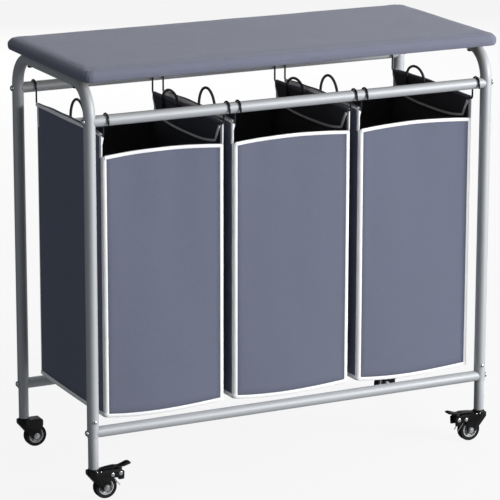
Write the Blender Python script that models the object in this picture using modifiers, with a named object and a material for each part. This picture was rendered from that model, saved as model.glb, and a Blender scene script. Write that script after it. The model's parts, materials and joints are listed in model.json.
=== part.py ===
"""Three-bag laundry sorter on wheels, with a padded board on top. Metres, +Z up.

The floor is z = 0. X runs along the board and Y from the front rails (-) to the rear rails (+).
"""

import math

import bmesh
import bpy
from mathutils import Matrix, Vector

# Frame tubes
POST_X = 0.468
POST_Y = 0.1935
POST_R = 0.0125
POST_WALL = 0.00115
POST_FOOT_Z = 0.137
BEND_R = 0.0675
FRAME_TOP_Z = 0.8845
LEG_R = 0.011
LEG_BORE_R = 0.0098
LEG_FOOT_Z = 0.068
LEG_HEAD_Z = 0.205
SOCKET_DEEP = 0.034
SOCKET_R = 0.00465
RAIL_R = 0.0118
RAIL_BORE_R = 0.0106
RAIL_PLUG = 0.015
RAIL_UPPER_Z = 0.811
RAIL_LOWER_Z = 0.147
BOLT_R = 0.003
BOLT_HOLE_R = 0.0033
GAP = 0.0003

# Board
BOARD_HX = 0.4885
BOARD_HY = 0.2175
BOARD_CORNER = 0.025
BOARD_BASE_Z = FRAME_TOP_Z + POST_R + GAP
BOARD_TOP_Z = 0.922
PAD_LIP_Z = 0.8945
PAD_SIDE = 0.006
CORE_THICK = 0.0105
SCREW_Y = 0.122
SCREW_R = 0.0025
SCREW_HOLE_R = 0.0029

# Bags
BAG_PITCH = 0.300
BAG_SHIFT = 0.006
BAG_HX = 0.1385
BAG_HY = 0.176
BAG_CORNER = 0.012
BAG_WALL = 0.0025
BAG_BASE_Z = 0.172
BAG_FRONT_Z = 0.730
BAG_SIDE_Z = 0.778
BAG_HEM_DIP = 0.006
BAG_RIM_RISE = 0.0065
ROD_X = 0.13725
ROD_Z = 0.775
ROD_R = 0.002
SLEEVE_R = 0.0046
CHANNEL_R = 0.0025
HOOK_R = RAIL_R + GAP + ROD_R
HOOK_DROP = 0.008
CORD_R = 0.003
CORD_X = 0.1279
CORD_SPAN = 0.040
CORD_FOOT_Z = 0.750

# Casters
TRAIL = 0.0255
WHEEL_R = 0.025
TYRE_BORE_R = 0.0173
HUB_R = 0.017
WHEEL_HW = 0.0088
AXLE_R = 0.003
AXLE_Z = WHEEL_R
FORK_HW = 0.0125
WELL_HW = 0.0098
WELL_R = 0.0272
STEM_R = 0.00455
PIN_X = 0.057
PIN_Z = 0.053
PEDAL_HW = 0.0085

SILVER = ((0.50, 0.51, 0.53, 1.0), 0.32, 0.9)
ZINC = ((0.62, 0.62, 0.64, 1.0), 0.28, 1.0)
BLACK_WIRE = ((0.02, 0.02, 0.02, 1.0), 0.25, 0.4)
BLACK_PLASTIC = ((0.02, 0.02, 0.022, 1.0), 0.45, 0.0)
GREY_FABRIC = ((0.16, 0.17, 0.22, 1.0), 0.9, 0.0)
PAD_FABRIC = ((0.21, 0.215, 0.26, 1.0), 0.85, 0.0)
CORD_BLACK = ((0.012, 0.012, 0.012, 1.0), 0.9, 0.0)
RUBBER = ((0.012, 0.012, 0.012, 1.0), 0.7, 0.0)
HUB_GREY = ((0.22, 0.22, 0.23, 1.0), 0.5, 0.0)
BOARD_BROWN = ((0.36, 0.25, 0.15, 1.0), 0.8, 0.0)

for old in list(bpy.data.objects):
    bpy.data.objects.remove(old, do_unlink=True)

PARTS = bpy.data.collections.new("laundry_sorter")
bpy.context.scene.collection.children.link(PARTS)


def material(name, look):
    colour, rough, metal = look
    made = bpy.data.materials.new(name)
    made.use_nodes = True
    shader = made.node_tree.nodes["Principled BSDF"]
    shader.inputs["Base Color"].default_value = colour
    shader.inputs["Roughness"].default_value = rough
    shader.inputs["Metallic"].default_value = metal
    return made


def put(name, mesh, look, place=(0, 0, 0), parent=None, smooth=30):
    """Adds one finished sub-part. `place` is where its own origin stands."""
    body = bpy.data.objects.new(name, mesh)
    PARTS.objects.link(body)
    body.location = place
    if parent is not None:
        body.parent = parent
        body.location = Vector(place) - parent.location
    mesh.materials.clear()
    mesh.materials.append(material(name, look))
    mesh.shade_smooth()
    mesh.set_sharp_from_angle(angle=math.radians(smooth))
    return body


def pivot(name, place, parent=None):
    """An empty on a joint's axis."""
    made = bpy.data.objects.new(name, None)
    PARTS.objects.link(made)
    made.location = place if parent is None else Vector(place) - parent.location
    made.parent = parent
    return made


def baked(obj):
    """The mesh of an object after its modifiers, and the object removed."""
    bpy.context.view_layer.update()
    graph = bpy.context.evaluated_depsgraph_get()
    mesh = bpy.data.meshes.new_from_object(obj.evaluated_get(graph))
    mesh.transform(obj.matrix_world)
    bpy.data.objects.remove(obj, do_unlink=True)
    return cleaned(mesh)


def cleaned(mesh):
    bm = bmesh.new()
    bm.from_mesh(mesh)
    bmesh.ops.remove_doubles(bm, verts=bm.verts, dist=2e-6)
    bmesh.ops.recalc_face_normals(bm, faces=bm.faces)
    bm.to_mesh(mesh)
    bm.free()
    return mesh


def holder(mesh, name="work"):
    obj = bpy.data.objects.new(name, mesh)
    bpy.context.scene.collection.objects.link(obj)
    return obj


def moved(mesh, matrix):
    copy = mesh.copy()
    copy.transform(matrix)
    if matrix.determinant() < 0:
        copy.flip_normals()
    return copy


def joined(mesh, others, operation="DIFFERENCE"):
    """The mesh after one exact Boolean with each of the other meshes in turn."""
    body = holder(mesh)
    tools = [holder(other, "tool") for other in others]
    for tool in tools:
        step = body.modifiers.new("cut", "BOOLEAN")
        step.operation = operation
        step.solver = "EXACT"
        step.object = tool
    result = baked(body)
    for tool in tools:
        bpy.data.objects.remove(tool, do_unlink=True)
    return result


def along(axis):
    """Turns +Z onto the named axis."""
    turn = {"X": ("Y", 90), "Y": ("X", -90), "Z": ("Z", 0)}[axis]
    return Matrix.Rotation(math.radians(turn[1]), 4, turn[0])


def rod(radius, low, high, axis="Z", centre=(0, 0, 0), steps=16):
    """A solid cylinder from low to high along an axis, measured from centre."""
    bm = bmesh.new()
    bmesh.ops.create_cone(
        bm, cap_ends=True, segments=steps, radius1=radius, radius2=radius, depth=high - low
    )
    mesh = bpy.data.meshes.new("rod")
    bm.to_mesh(mesh)
    bm.free()
    shift = Matrix.Translation((0, 0, (low + high) / 2))
    mesh.transform(Matrix.Translation(centre) @ along(axis) @ shift)
    return mesh


def box(low, high):
    bm = bmesh.new()
    bmesh.ops.create_cube(bm, size=1.0)
    mesh = bpy.data.meshes.new("box")
    bm.to_mesh(mesh)
    bm.free()
    size = [b - a for a, b in zip(low, high)]
    middle = [(a + b) / 2 for a, b in zip(low, high)]
    mesh.transform(Matrix.Translation(middle) @ Matrix.Diagonal((*size, 1)))
    return mesh


def turned(profile, steps, closed=False, axis="Z", centre=(0, 0, 0)):
    """A Screw of a profile of (radius, height) points."""
    mesh = bpy.data.meshes.new("turned")
    points = [(r, 0, z) for r, z in profile]
    edges = [(i, i + 1) for i in range(len(points) - 1)]
    if closed:
        edges.append((len(points) - 1, 0))
    mesh.from_pydata(points, edges, [])
    body = holder(mesh)
    screw = body.modifiers.new("screw", "SCREW")
    screw.axis = "Z"
    screw.steps = steps
    screw.render_steps = steps
    screw.use_merge_vertices = True
    screw.merge_threshold = 0.00001
    body.matrix_world = Matrix.Translation(centre) @ along(axis)
    return baked(body)


def swept(points, radius, sides, wall=0.0):
    """A tube or wire along a line of points. With a wall it is hollow and open at both ends."""
    line = bpy.data.curves.new("line", "CURVE")
    line.dimensions = "3D"
    line.bevel_depth = radius
    line.bevel_resolution = (sides - 4) // 2
    line.use_fill_caps = wall == 0.0
    spline = line.splines.new("POLY")
    spline.points.add(len(points) - 1)
    for point, place in zip(spline.points, points):
        point.co = (*place, 1.0)
    body = bpy.data.objects.new("line", line)
    bpy.context.scene.collection.objects.link(body)
    mesh = baked(body)
    if wall == 0.0:
        return mesh
    shell = holder(mesh)
    thick = shell.modifiers.new("wall", "SOLIDIFY")
    thick.thickness = wall
    thick.offset = -1
    thick.use_even_offset = True
    return baked(shell)


def plate(outline, half_width, rounding=0.0, segments=2):
    """A flat outline in X and Z, given its width along Y. Its edges can be rounded."""
    bm = bmesh.new()
    face = bm.faces.new([bm.verts.new((x, -half_width, z)) for x, z in outline])
    side = bmesh.ops.extrude_face_region(bm, geom=[face])["geom"]
    fresh = [v for v in side if isinstance(v, bmesh.types.BMVert)]
    bmesh.ops.translate(bm, verts=fresh, vec=(0, 2 * half_width, 0))
    bmesh.ops.recalc_face_normals(bm, faces=bm.faces)
    mesh = bpy.data.meshes.new("plate")
    bm.to_mesh(mesh)
    bm.free()
    if rounding == 0.0:
        return mesh
    body = holder(mesh)
    bevel = body.modifiers.new("bevel", "BEVEL")
    bevel.width = rounding
    bevel.segments = segments
    bevel.limit_method = "ANGLE"
    bevel.angle_limit = math.radians(50)
    return baked(body)


def arc(cx, cz, radius, start, stop, steps):
    """Points of an arc, in degrees."""
    angles = [math.radians(start + (stop - start) * i / steps) for i in range(steps + 1)]
    return [(cx + radius * math.cos(a), cz + radius * math.sin(a)) for a in angles]


def rounded_slab(hx, hy, corner, low, high, steps):
    """A slab with rounded corners, seen from above."""
    outline = []
    for sx, sy, start in ((1, 1, 0), (-1, 1, 90), (-1, -1, 180), (1, -1, 270)):
        outline += arc(sx * (hx - corner), sy * (hy - corner), corner, start, start + 90, steps)
    slab = plate(outline, (high - low) / 2)
    slab.transform(Matrix.Translation((0, 0, (low + high) / 2)) @ Matrix.Rotation(math.pi / 2, 4, "X"))
    return cleaned(slab)


def end_frame(side):
    """An inverted U of tube, drilled for the rail bolts and the two board screws."""
    bend_y = POST_Y - BEND_R
    bend_z = FRAME_TOP_Z - BEND_R
    line = [(-POST_Y, POST_FOOT_Z)]
    line += arc(-bend_y, bend_z, BEND_R, 180, 90, 5)
    line += arc(bend_y, bend_z, BEND_R, 90, 0, 5)
    line.append((POST_Y, POST_FOOT_Z))
    x = side * POST_X
    mesh = swept([(x, y, z) for y, z in line], POST_R, 16, POST_WALL)
    holes = []
    for y in (-POST_Y, POST_Y):
        for z in (RAIL_LOWER_Z, RAIL_UPPER_Z):
            holes.append(rod(BOLT_HOLE_R, -0.02, 0.02, "X", (x, y, z), 12))
    for y in (-SCREW_Y, SCREW_Y):
        holes.append(rod(SCREW_HOLE_R, -0.02, 0.02, "Z", (x, y, FRAME_TOP_Z), 12))
    return joined(mesh, holes)


def leg(x, y):
    """The lower leg: its head slides up inside the end frame, its foot holds the caster's stem."""
    profile = [
        (LEG_R, LEG_HEAD_Z),
        (LEG_R, LEG_FOOT_Z),
        (SOCKET_R, LEG_FOOT_Z),
        (SOCKET_R, LEG_FOOT_Z + SOCKET_DEEP),
        (LEG_BORE_R, LEG_FOOT_Z + SOCKET_DEEP),
        (LEG_BORE_R, LEG_HEAD_Z),
    ]
    mesh = turned(profile, 20, True, "Z", (x, y, 0))
    return joined(mesh, [rod(BOLT_HOLE_R, -0.02, 0.02, "X", (x, y, RAIL_LOWER_Z), 12)])


def rail(y, z):
    """A tube between the posts, notched at each end to sit against the round post."""
    end = POST_X
    profile = [
        (RAIL_R, end),
        (RAIL_R, -end),
        (BOLT_HOLE_R, -end),
        (BOLT_HOLE_R, -end + POST_R + RAIL_PLUG),
        (RAIL_BORE_R, -end + POST_R + RAIL_PLUG),
        (RAIL_BORE_R, end - POST_R - RAIL_PLUG),
        (BOLT_HOLE_R, end - POST_R - RAIL_PLUG),
        (BOLT_HOLE_R, end),
    ]
    mesh = turned(profile, 16, True, "X", (0, y, z))
    posts = [rod(POST_R + 2 * GAP, -0.03, 0.03, "Z", (s * POST_X, y, z), 32) for s in (-1, 1)]
    return joined(mesh, posts)


def rail_bolt(side, y, z):
    """A round-headed bolt through the post into the end of a rail."""
    head = POST_R + 2 * GAP
    profile = [
        (0, -head - 0.0042),
        (0.0035, -head - 0.0038),
        (0.0058, -head - 0.0020),
        (0.0063, -head),
        (BOLT_R, -head),
        (BOLT_R, POST_R + 0.012),
        (0, POST_R + 0.012),
    ]
    mesh = turned(profile, 10, False, "X")
    if side > 0:
        mesh = moved(mesh, Matrix.Diagonal((-1, 1, 1, 1)))
    mesh.transform(Matrix.Translation((side * POST_X, y, z)))
    return mesh


def board_core():
    """The stiff board under the pad, with a blind pilot hole for each screw."""
    hx = BOARD_HX - PAD_SIDE
    hy = BOARD_HY - PAD_SIDE
    slab = rounded_slab(
        hx, hy, BOARD_CORNER - PAD_SIDE, BOARD_BASE_Z, BOARD_BASE_Z + CORE_THICK, 5
    )
    holes = []
    for x in (-POST_X, POST_X):
        for y in (-SCREW_Y, SCREW_Y):
            holes.append(rod(SCREW_HOLE_R, -0.01, 0.0088, "Z", (x, y, BOARD_BASE_Z), 10))
    return joined(slab, holes)


def board_pad():
    """The padded cover, drawn down past the edge of the core. Its middle is flat."""
    slab = rounded_slab(BOARD_HX, BOARD_HY, BOARD_CORNER, PAD_LIP_Z, BOARD_TOP_Z, 6)
    body = holder(slab)
    bevel = body.modifiers.new("bevel", "BEVEL")
    bevel.width = 0.0075
    bevel.segments = 3
    bevel.limit_method = "ANGLE"
    bevel.angle_limit = math.radians(50)
    slab = baked(body)
    pocket = rounded_slab(
        BOARD_HX - PAD_SIDE + GAP,
        BOARD_HY - PAD_SIDE + GAP,
        BOARD_CORNER - PAD_SIDE + GAP,
        BOARD_BASE_Z - 0.01,
        BOARD_BASE_Z + CORE_THICK + GAP,
        5,
    )
    return joined(slab, [pocket])


def board_screw(x, y):
    """A pan-headed screw up through the end frame into the core."""
    under = FRAME_TOP_Z - POST_R - 2 * GAP
    profile = [
        (0, BOARD_BASE_Z + 0.0080),
        (SCREW_R, BOARD_BASE_Z + 0.0062),
        (SCREW_R, under),
        (0.0058, under),
        (0.0056, under - 0.0026),
        (0.0035, under - 0.0042),
        (0, under - 0.0042),
    ]
    return turned(profile, 10, False, "Z", (x, y, 0))


def bag_outline(inset):
    """Unit directions round a bag: (x, y, along the corner 0..1 or None)."""
    hx = BAG_HX - inset
    hy = BAG_HY - inset
    corner = BAG_CORNER - inset
    points = []
    for sx, sy, start in ((1, -1, 270), (1, 1, 0), (-1, 1, 90), (-1, -1, 180)):
        turn = arc(sx * (hx - corner), sy * (hy - corner), corner, start, start + 90, 2)
        points += turn
        ahead = (hx - corner) if start in (0, 180) else (hy - corner)
        steps = 5
        last = turn[-1]
        for i in range(1, steps):
            move = 2 * ahead * i / steps
            if start == 270:
                points.append((last[0], last[1] + move))
            elif start == 0:
                points.append((last[0] - move, last[1]))
            elif start == 90:
                points.append((last[0], last[1] - move))
            else:
                points.append((last[0] + move, last[1]))
    return points


def bag_ring(inset, share):
    """One ring of the bag, `share` of the way up its wall."""
    ring = []
    for x, y in bag_outline(inset):
        side = max(0.0, min(1.0, (abs(x) - (BAG_HX - BAG_CORNER)) / (BAG_CORNER - inset)))
        face = max(0.0, min(1.0, (abs(y) - (BAG_HY - BAG_CORNER)) / (BAG_CORNER - inset)))
        rim = BAG_FRONT_Z + (BAG_SIDE_Z - BAG_FRONT_Z) * (1.0 if face < 0.5 else 0.0)
        if face >= 0.5 and side > 0.9:
            rim = BAG_SIDE_Z
        floor = BAG_BASE_Z + inset
        z = floor + (rim - floor) * share
        belly = 0.0055 * (1 - share) ** 2 - 0.004 * share**3
        bow = 1 - (x / BAG_HX) ** 2
        y += math.copysign(belly * bow * face, y)
        waist = -0.0025 * math.sin(math.pi * min(1.0, share * 1.02))
        x += math.copysign(waist * (1 - (y / BAG_HY) ** 2) * side, x)
        z += (BAG_RIM_RISE * share**3 - BAG_HEM_DIP * (1 - share) ** 3) * bow * face
        ring.append((x, y, z))
    return ring


def bag_shell():
    """The walls and floor of a bag, open at the top."""
    bm = bmesh.new()

    def ring_of(points):
        return [bm.verts.new(p) for p in points]

    def shrunk(points, share, drop):
        level = BAG_BASE_Z
        return [(x * share, y * share, level + (z - level) * share - drop) for x, y, z in points]

    def bridge(first, second):
        count = len(first)
        for i in range(count):
            j = (i + 1) % count
            bm.faces.new((first[i], first[j], second[j], second[i]))

    shares = (0.0, 0.06, 0.35, 0.68, 1.0)
    rings = []
    base = bag_ring(0.0, 0.0)
    rings.append(ring_of(shrunk(base, 0.55, 0.0035)))
    rings.append(ring_of(shrunk(base, 0.965, 0.001)))
    rings += [ring_of(bag_ring(0.0, share)) for share in shares]
    rings += [ring_of(bag_ring(BAG_WALL, share)) for share in reversed(shares)]
    inner = bag_ring(BAG_WALL, 0.0)
    rings.append(ring_of(shrunk(inner, 0.965, 0.001)))
    rings.append(ring_of(shrunk(inner, 0.55, 0.0035)))
    for first, second in zip(rings, rings[1:]):
        bridge(first, second)
    for ring, depth in ((rings[0], -0.0060), (rings[-1], -0.0060 + BAG_WALL)):
        middle = bm.verts.new((0, 0, BAG_BASE_Z + depth))
        for i in range(len(ring)):
            bm.faces.new((ring[i], ring[(i + 1) % len(ring)], middle))
    bmesh.ops.recalc_face_normals(bm, faces=bm.faces)
    mesh = bpy.data.meshes.new("bag")
    bm.to_mesh(mesh)
    bm.free()
    return mesh


def bag():
    """The fabric of one bag: its walls, the sleeve over each rod and the flap turned down inside."""
    adds = []
    channels = []
    for side in (-1, 1):
        x = side * ROD_X
        adds.append(rod(SLEEVE_R, -0.174, 0.174, "Y", (x, 0, ROD_Z), 12))
        channels.append(rod(CHANNEL_R, -0.2, 0.2, "Y", (x, 0, ROD_Z), 12))
        flap = [(-0.167, 0.777), (0.167, 0.777), (0.148, 0.733), (-0.148, 0.733)]
        sheet = plate(flap, 0.0011)
        sheet.transform(
            Matrix.Translation((side * 0.1325, 0, 0)) @ Matrix.Rotation(math.pi / 2, 4, "Z")
        )
        adds.append(sheet)
    mesh = joined(bag_shell(), adds, "UNION")
    return joined(mesh, channels)


def bag_rod():
    """A wire through the sleeve, hooked over the front and rear rails. At X = 0."""
    inner = POST_Y - HOOK_R
    corner = 0.005
    half = arc(inner - corner, ROD_Z + corner, corner, 270, 360, 2)
    half += arc(POST_Y, RAIL_UPPER_Z, HOOK_R, 180, 0, 6)
    half.append((POST_Y + HOOK_R, RAIL_UPPER_Z - HOOK_DROP))
    line = [(-y, z) for y, z in reversed(half)] + half
    return swept([(0, y, z) for y, z in line], ROD_R, 6)


def cord_handle(top, middle):
    """A loop of round cord that stands up from the inside of a flap. At X = 0."""
    line = []
    rise = top - ROD_Z
    for i in range(13):
        a = math.pi * i / 12
        up = math.sin(a)
        spread = -math.cos(a) * CORD_SPAN
        line.append((0, middle + spread, ROD_Z + rise * up))
    foot = [(0, middle - CORD_SPAN, CORD_FOOT_Z)]
    tail = [(0, middle + CORD_SPAN, CORD_FOOT_Z)]
    return swept(foot + line + tail, CORD_R, 6)


def fork(side, braked):
    """The caster's housing: stem, cap and two cheeks. The wheel trails towards the sorter's middle."""
    outline = [(-0.0142, 0.0640), (-0.0142, 0.0530), (-0.001, 0.0385), (0.0150, 0.0205)]
    outline += arc(TRAIL, AXLE_Z, 0.0085, 215, 340, 5)
    if braked:
        outline += [(0.0355, 0.0400), (0.0375, 0.0460), (0.0510, 0.0440), (0.0525, 0.0395)]
        outline += [(0.0650, 0.0395), (0.0660, 0.0570), (0.0610, 0.0595), (0.0490, 0.0632)]
    else:
        outline += [(0.0365, 0.0400), (0.0410, 0.0490), (0.0410, 0.0605), (0.0375, 0.0640)]
    body = plate(outline, FORK_HW, 0.0012, 1)
    cap = turned(
        [
            (0, 0.0676),
            (0.0128, 0.0676),
            (0.0150, 0.0655),
            (0.0150, 0.0560),
            (0.0125, 0.0530),
            (0, 0.0530),
        ],
        20,
    )
    stem = rod(STEM_R, 0.0600, 0.0990, "Z", (0, 0, 0), 20)
    mesh = joined(body, [cap, stem], "UNION")
    cuts = [rod(WELL_R, -WELL_HW, WELL_HW, "Y", (TRAIL, 0, AXLE_Z), 24)]
    cuts.append(box((0.0290, -WELL_HW, 0.0), (0.0700, WELL_HW, 0.0500)))
    cuts.append(rod(AXLE_R + GAP, -0.02, 0.02, "Y", (TRAIL, 0, AXLE_Z), 12))
    if braked:
        cuts.append(box((0.0455, -WELL_HW, 0.03), (0.0700, WELL_HW, 0.08)))
        cuts.append(rod(0.0026, -0.02, 0.02, "Y", (PIN_X, 0, PIN_Z), 12))
    mesh = joined(mesh, cuts)
    return moved(mesh, Matrix.Diagonal((side, 1, 1, 1)))


def axle(x):
    """The axle bolt, with a head on each cheek."""
    profile = [
        (0, FORK_HW + 0.0036),
        (0.0052, FORK_HW + 0.0030),
        (0.0058, FORK_HW + GAP),
        (AXLE_R, FORK_HW + GAP),
        (AXLE_R, -FORK_HW - GAP),
        (0.0058, -FORK_HW - GAP),
        (0.0052, -FORK_HW - 0.0030),
        (0, -FORK_HW - 0.0036),
    ]
    return turned(profile, 16, False, "Y", (x, 0, AXLE_Z))


def wheel_hub():
    """The hub: a rim, a thin web and a bored boss. Its axis is Y."""
    profile = [
        (HUB_R, WHEEL_HW - 0.0008),
        (HUB_R, 0.0008 - WHEEL_HW),
        (0.0145, 0.0008 - WHEEL_HW),
        (0.0138, -0.0035),
        (0.0066, -0.0035),
        (0.0062, -WHEEL_HW),
        (0.0031, -WHEEL_HW),
        (0.0031, WHEEL_HW),
        (0.0062, WHEEL_HW),
        (0.0066, 0.0035),
        (0.0138, 0.0035),
        (0.0145, WHEEL_HW - 0.0008),
    ]
    return turned(profile, 16, True, "Y")


def tyre():
    """The tyre, with rounded shoulders. Its axis is Y."""
    profile = [
        (TYRE_BORE_R, WHEEL_HW - 0.0008),
        (0.0225, WHEEL_HW),
        (0.0243, WHEEL_HW - 0.0013),
        (WHEEL_R, WHEEL_HW - 0.0038),
        (WHEEL_R, 0.0038 - WHEEL_HW),
        (0.0243, 0.0013 - WHEEL_HW),
        (0.0225, -WHEEL_HW),
        (TYRE_BORE_R, 0.0008 - WHEEL_HW),
    ]
    return turned(profile, 24, True, "Y")


def brake_pedal(side):
    """The foot pedal: a rocker on the pin between the cheeks, with a raised tip."""
    blade = [(0.0180, 0.0642), (0.0300, 0.0640), (0.0560, 0.0640), (0.0680, 0.0625)]
    blade += [(0.0835, 0.0655), (0.0840, 0.0690), (0.0745, 0.0725), (0.0660, 0.0700)]
    blade += [(0.0570, 0.0680), (0.0460, 0.0705), (0.0300, 0.0690), (0.0180, 0.0668)]
    top = plate(blade, PEDAL_HW, 0.001, 1)
    boss = rod(0.0058, -PEDAL_HW, PEDAL_HW, "Y", (PIN_X, 0, PIN_Z), 16)
    neck = box((0.0525, -PEDAL_HW, 0.0530), (0.0620, PEDAL_HW, 0.0660))
    lobe = box((0.0500, -PEDAL_HW, 0.0470), (0.0570, PEDAL_HW, 0.0540))
    mesh = joined(top, [boss, neck, lobe], "UNION")
    mesh = joined(mesh, [rod(0.00215, -0.02, 0.02, "Y", (PIN_X, 0, PIN_Z), 12)])
    return moved(mesh, Matrix.Diagonal((side, 1, 1, 1)))


def brake_pin():
    """The pin the pedal rocks on. At the origin, along Y."""
    profile = [
        (0, FORK_HW + 0.0016),
        (0.0036, FORK_HW + 0.0012),
        (0.0040, FORK_HW + GAP),
        (0.0020, FORK_HW + GAP),
        (0.0020, -FORK_HW - GAP),
        (0.0040, -FORK_HW - GAP),
        (0.0036, -FORK_HW - 0.0012),
        (0, -FORK_HW - 0.0016),
    ]
    return turned(profile, 12, False, "Y")


def build_frame():
    sides = (("left", -1), ("right", 1))
    depths = (("front", -1), ("rear", 1))
    for side_name, side in sides:
        put(f"{side_name}_end_frame", end_frame(side), SILVER)
    for depth_name, depth in depths:
        y = depth * POST_Y
        for level, z in (("upper", RAIL_UPPER_Z), ("lower", RAIL_LOWER_Z)):
            put(f"{depth_name}_{level}_rail", rail(y, z), SILVER)
            for side_name, side in sides:
                name = f"{depth_name}_{level}_{side_name}_bolt"
                put(name, rail_bolt(side, y, z), ZINC)
        for side_name, side in sides:
            put(f"{depth_name}_{side_name}_leg", leg(side * POST_X, y), SILVER)
            screw = board_screw(side * POST_X, depth * SCREW_Y)
            put(f"{depth_name}_{side_name}_board_screw", screw, BLACK_PLASTIC)
    put("board_core", board_core(), BOARD_BROWN, smooth=20)
    put("board_pad", board_pad(), PAD_FABRIC, smooth=40)


def build_bags():
    fabric = bag()
    wire = bag_rod()
    # (height of the loop's top, where its middle is along Y) for each side of each bag
    loops = {
        "left": ((0.822, -0.026), (0.802, 0.066)),
        "middle": ((0.820, -0.024), (0.803, 0.061)),
        "right": ((0.819, -0.014), (0.805, 0.056)),
    }
    for index, (bag_name, pair) in enumerate(loops.items()):
        x = BAG_SHIFT + (index - 1) * BAG_PITCH
        origin = pivot(f"{bag_name}_bag_lift", (x, 0, BAG_BASE_Z))
        down = Matrix.Translation((0, 0, -BAG_BASE_Z))
        put(f"{bag_name}_bag", moved(fabric, down), GREY_FABRIC, origin.location, origin, 50)
        for side_name, side, (top, middle) in zip(("left", "right"), (-1, 1), pair):
            place = (x + side * ROD_X, 0, BAG_BASE_Z)
            put(f"{bag_name}_bag_{side_name}_rod", moved(wire, down), BLACK_WIRE, place, origin, 60)
            loop = moved(cord_handle(top, middle), down)
            place = (x + side * CORD_X, 0, BAG_BASE_Z)
            put(f"{bag_name}_bag_{side_name}_handle", loop, CORD_BLACK, place, origin, 60)


def build_casters():
    for depth_name, depth in (("front", -1), ("rear", 1)):
        braked = depth < 0
        for side_name, side in (("left", -1), ("right", 1)):
            name = f"{depth_name}_{side_name}"
            turn = -side
            swivel = pivot(f"{name}_swivel", (side * POST_X, depth * POST_Y, 0))
            base = swivel.location
            put(f"{name}_caster_fork", fork(turn, braked), BLACK_PLASTIC, base, swivel)
            put(f"{name}_axle", axle(turn * TRAIL), ZINC, base, swivel)
            centre = base + Vector((turn * TRAIL, 0, AXLE_Z))
            put(f"{name}_wheel_hub", wheel_hub(), HUB_GREY, centre, swivel)
            put(f"{name}_tyre", tyre(), RUBBER, centre, swivel)
            if not braked:
                continue
            pin = base + Vector((turn * PIN_X, 0, PIN_Z))
            lever = brake_pedal(turn)
            lever.transform(Matrix.Translation((-turn * PIN_X, 0, -PIN_Z)))
            put(f"{name}_brake_pin", brake_pin(), ZINC, pin, swivel)
            put(f"{name}_brake_pedal", lever, BLACK_PLASTIC, pin, swivel)


build_frame()
build_bags()
build_casters()
bpy.context.view_layer.update()
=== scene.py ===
"""The looks of the three-bag laundry sorter on wheels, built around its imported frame. Metres, +Z up.

The floor is z = 0. X runs along the board and Y from the front rails (-) to the rear rails (+).
"""

import json
import math

import bmesh
import bpy
import numpy as np
from mathutils import Matrix, Vector, noise

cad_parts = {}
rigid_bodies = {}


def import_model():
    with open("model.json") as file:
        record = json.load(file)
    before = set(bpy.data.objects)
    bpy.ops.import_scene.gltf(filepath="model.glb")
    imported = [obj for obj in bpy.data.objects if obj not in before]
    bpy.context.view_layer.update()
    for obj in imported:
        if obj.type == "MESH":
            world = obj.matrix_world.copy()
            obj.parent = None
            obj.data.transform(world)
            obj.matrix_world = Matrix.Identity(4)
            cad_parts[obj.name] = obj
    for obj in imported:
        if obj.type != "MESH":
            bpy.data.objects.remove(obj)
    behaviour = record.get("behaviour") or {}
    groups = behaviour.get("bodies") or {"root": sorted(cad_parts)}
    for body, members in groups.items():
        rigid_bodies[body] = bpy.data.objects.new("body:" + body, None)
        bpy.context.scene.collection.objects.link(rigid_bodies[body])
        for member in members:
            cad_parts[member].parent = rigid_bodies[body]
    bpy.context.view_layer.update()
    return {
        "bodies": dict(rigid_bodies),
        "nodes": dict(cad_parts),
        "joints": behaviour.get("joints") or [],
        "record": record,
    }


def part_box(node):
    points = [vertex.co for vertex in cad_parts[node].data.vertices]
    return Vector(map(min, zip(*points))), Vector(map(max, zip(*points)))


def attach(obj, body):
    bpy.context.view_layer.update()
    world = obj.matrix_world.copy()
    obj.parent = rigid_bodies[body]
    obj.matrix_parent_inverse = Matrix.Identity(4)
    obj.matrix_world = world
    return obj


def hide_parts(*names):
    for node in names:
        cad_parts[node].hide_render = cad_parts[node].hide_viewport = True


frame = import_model()

# ---------------------------------------------------------------- sizes

# Frame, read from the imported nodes
FRAME_LOW, FRAME_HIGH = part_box("right_end_frame")
POST_X = (FRAME_LOW.x + FRAME_HIGH.x) / 2
POST_R = (FRAME_HIGH.x - FRAME_LOW.x) / 2
POST_Y = FRAME_HIGH.y - POST_R
POST_FOOT_Z = FRAME_LOW.z
FRAME_TOP_Z = FRAME_HIGH.z - POST_R
POST_WALL = 0.00115
BEND_R = 0.0675
LEG_LOW, LEG_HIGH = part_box("front_right_leg")
LEG_R = (LEG_HIGH.x - LEG_LOW.x) / 2
LEG_FOOT_Z = LEG_LOW.z
RAIL_LOW, RAIL_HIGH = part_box("front_upper_rail")
RAIL_R = (RAIL_HIGH.z - RAIL_LOW.z) / 2
RAIL_UPPER_Z = (RAIL_HIGH.z + RAIL_LOW.z) / 2
RAIL_LOWER_Z = sum(c.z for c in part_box("front_lower_rail")) / 2
BUTTON_Z = 0.172
BUTTON_R = 0.0036

# Board
PAD_LOW, PAD_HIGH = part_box("board_pad")
BOARD_HX = PAD_HIGH.x
BOARD_HY = PAD_HIGH.y
BOARD_CORNER = 0.025
BOARD_BASE_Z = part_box("board_core")[0].z
BOARD_TOP_Z = PAD_HIGH.z
PAD_LIP_Z = PAD_LOW.z
PAD_EDGE_R = 0.0125
PAD_SIDE = 0.006
PAD_RISE = 0.0012
PAD_SWELL = 0.0014
PAD_GRID = 0.0105
GATHER_SPAN = 0.055
EDGE_BAND = 0.03
CORE_THICK = 0.0105
SCREW_Y = 0.122

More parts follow.
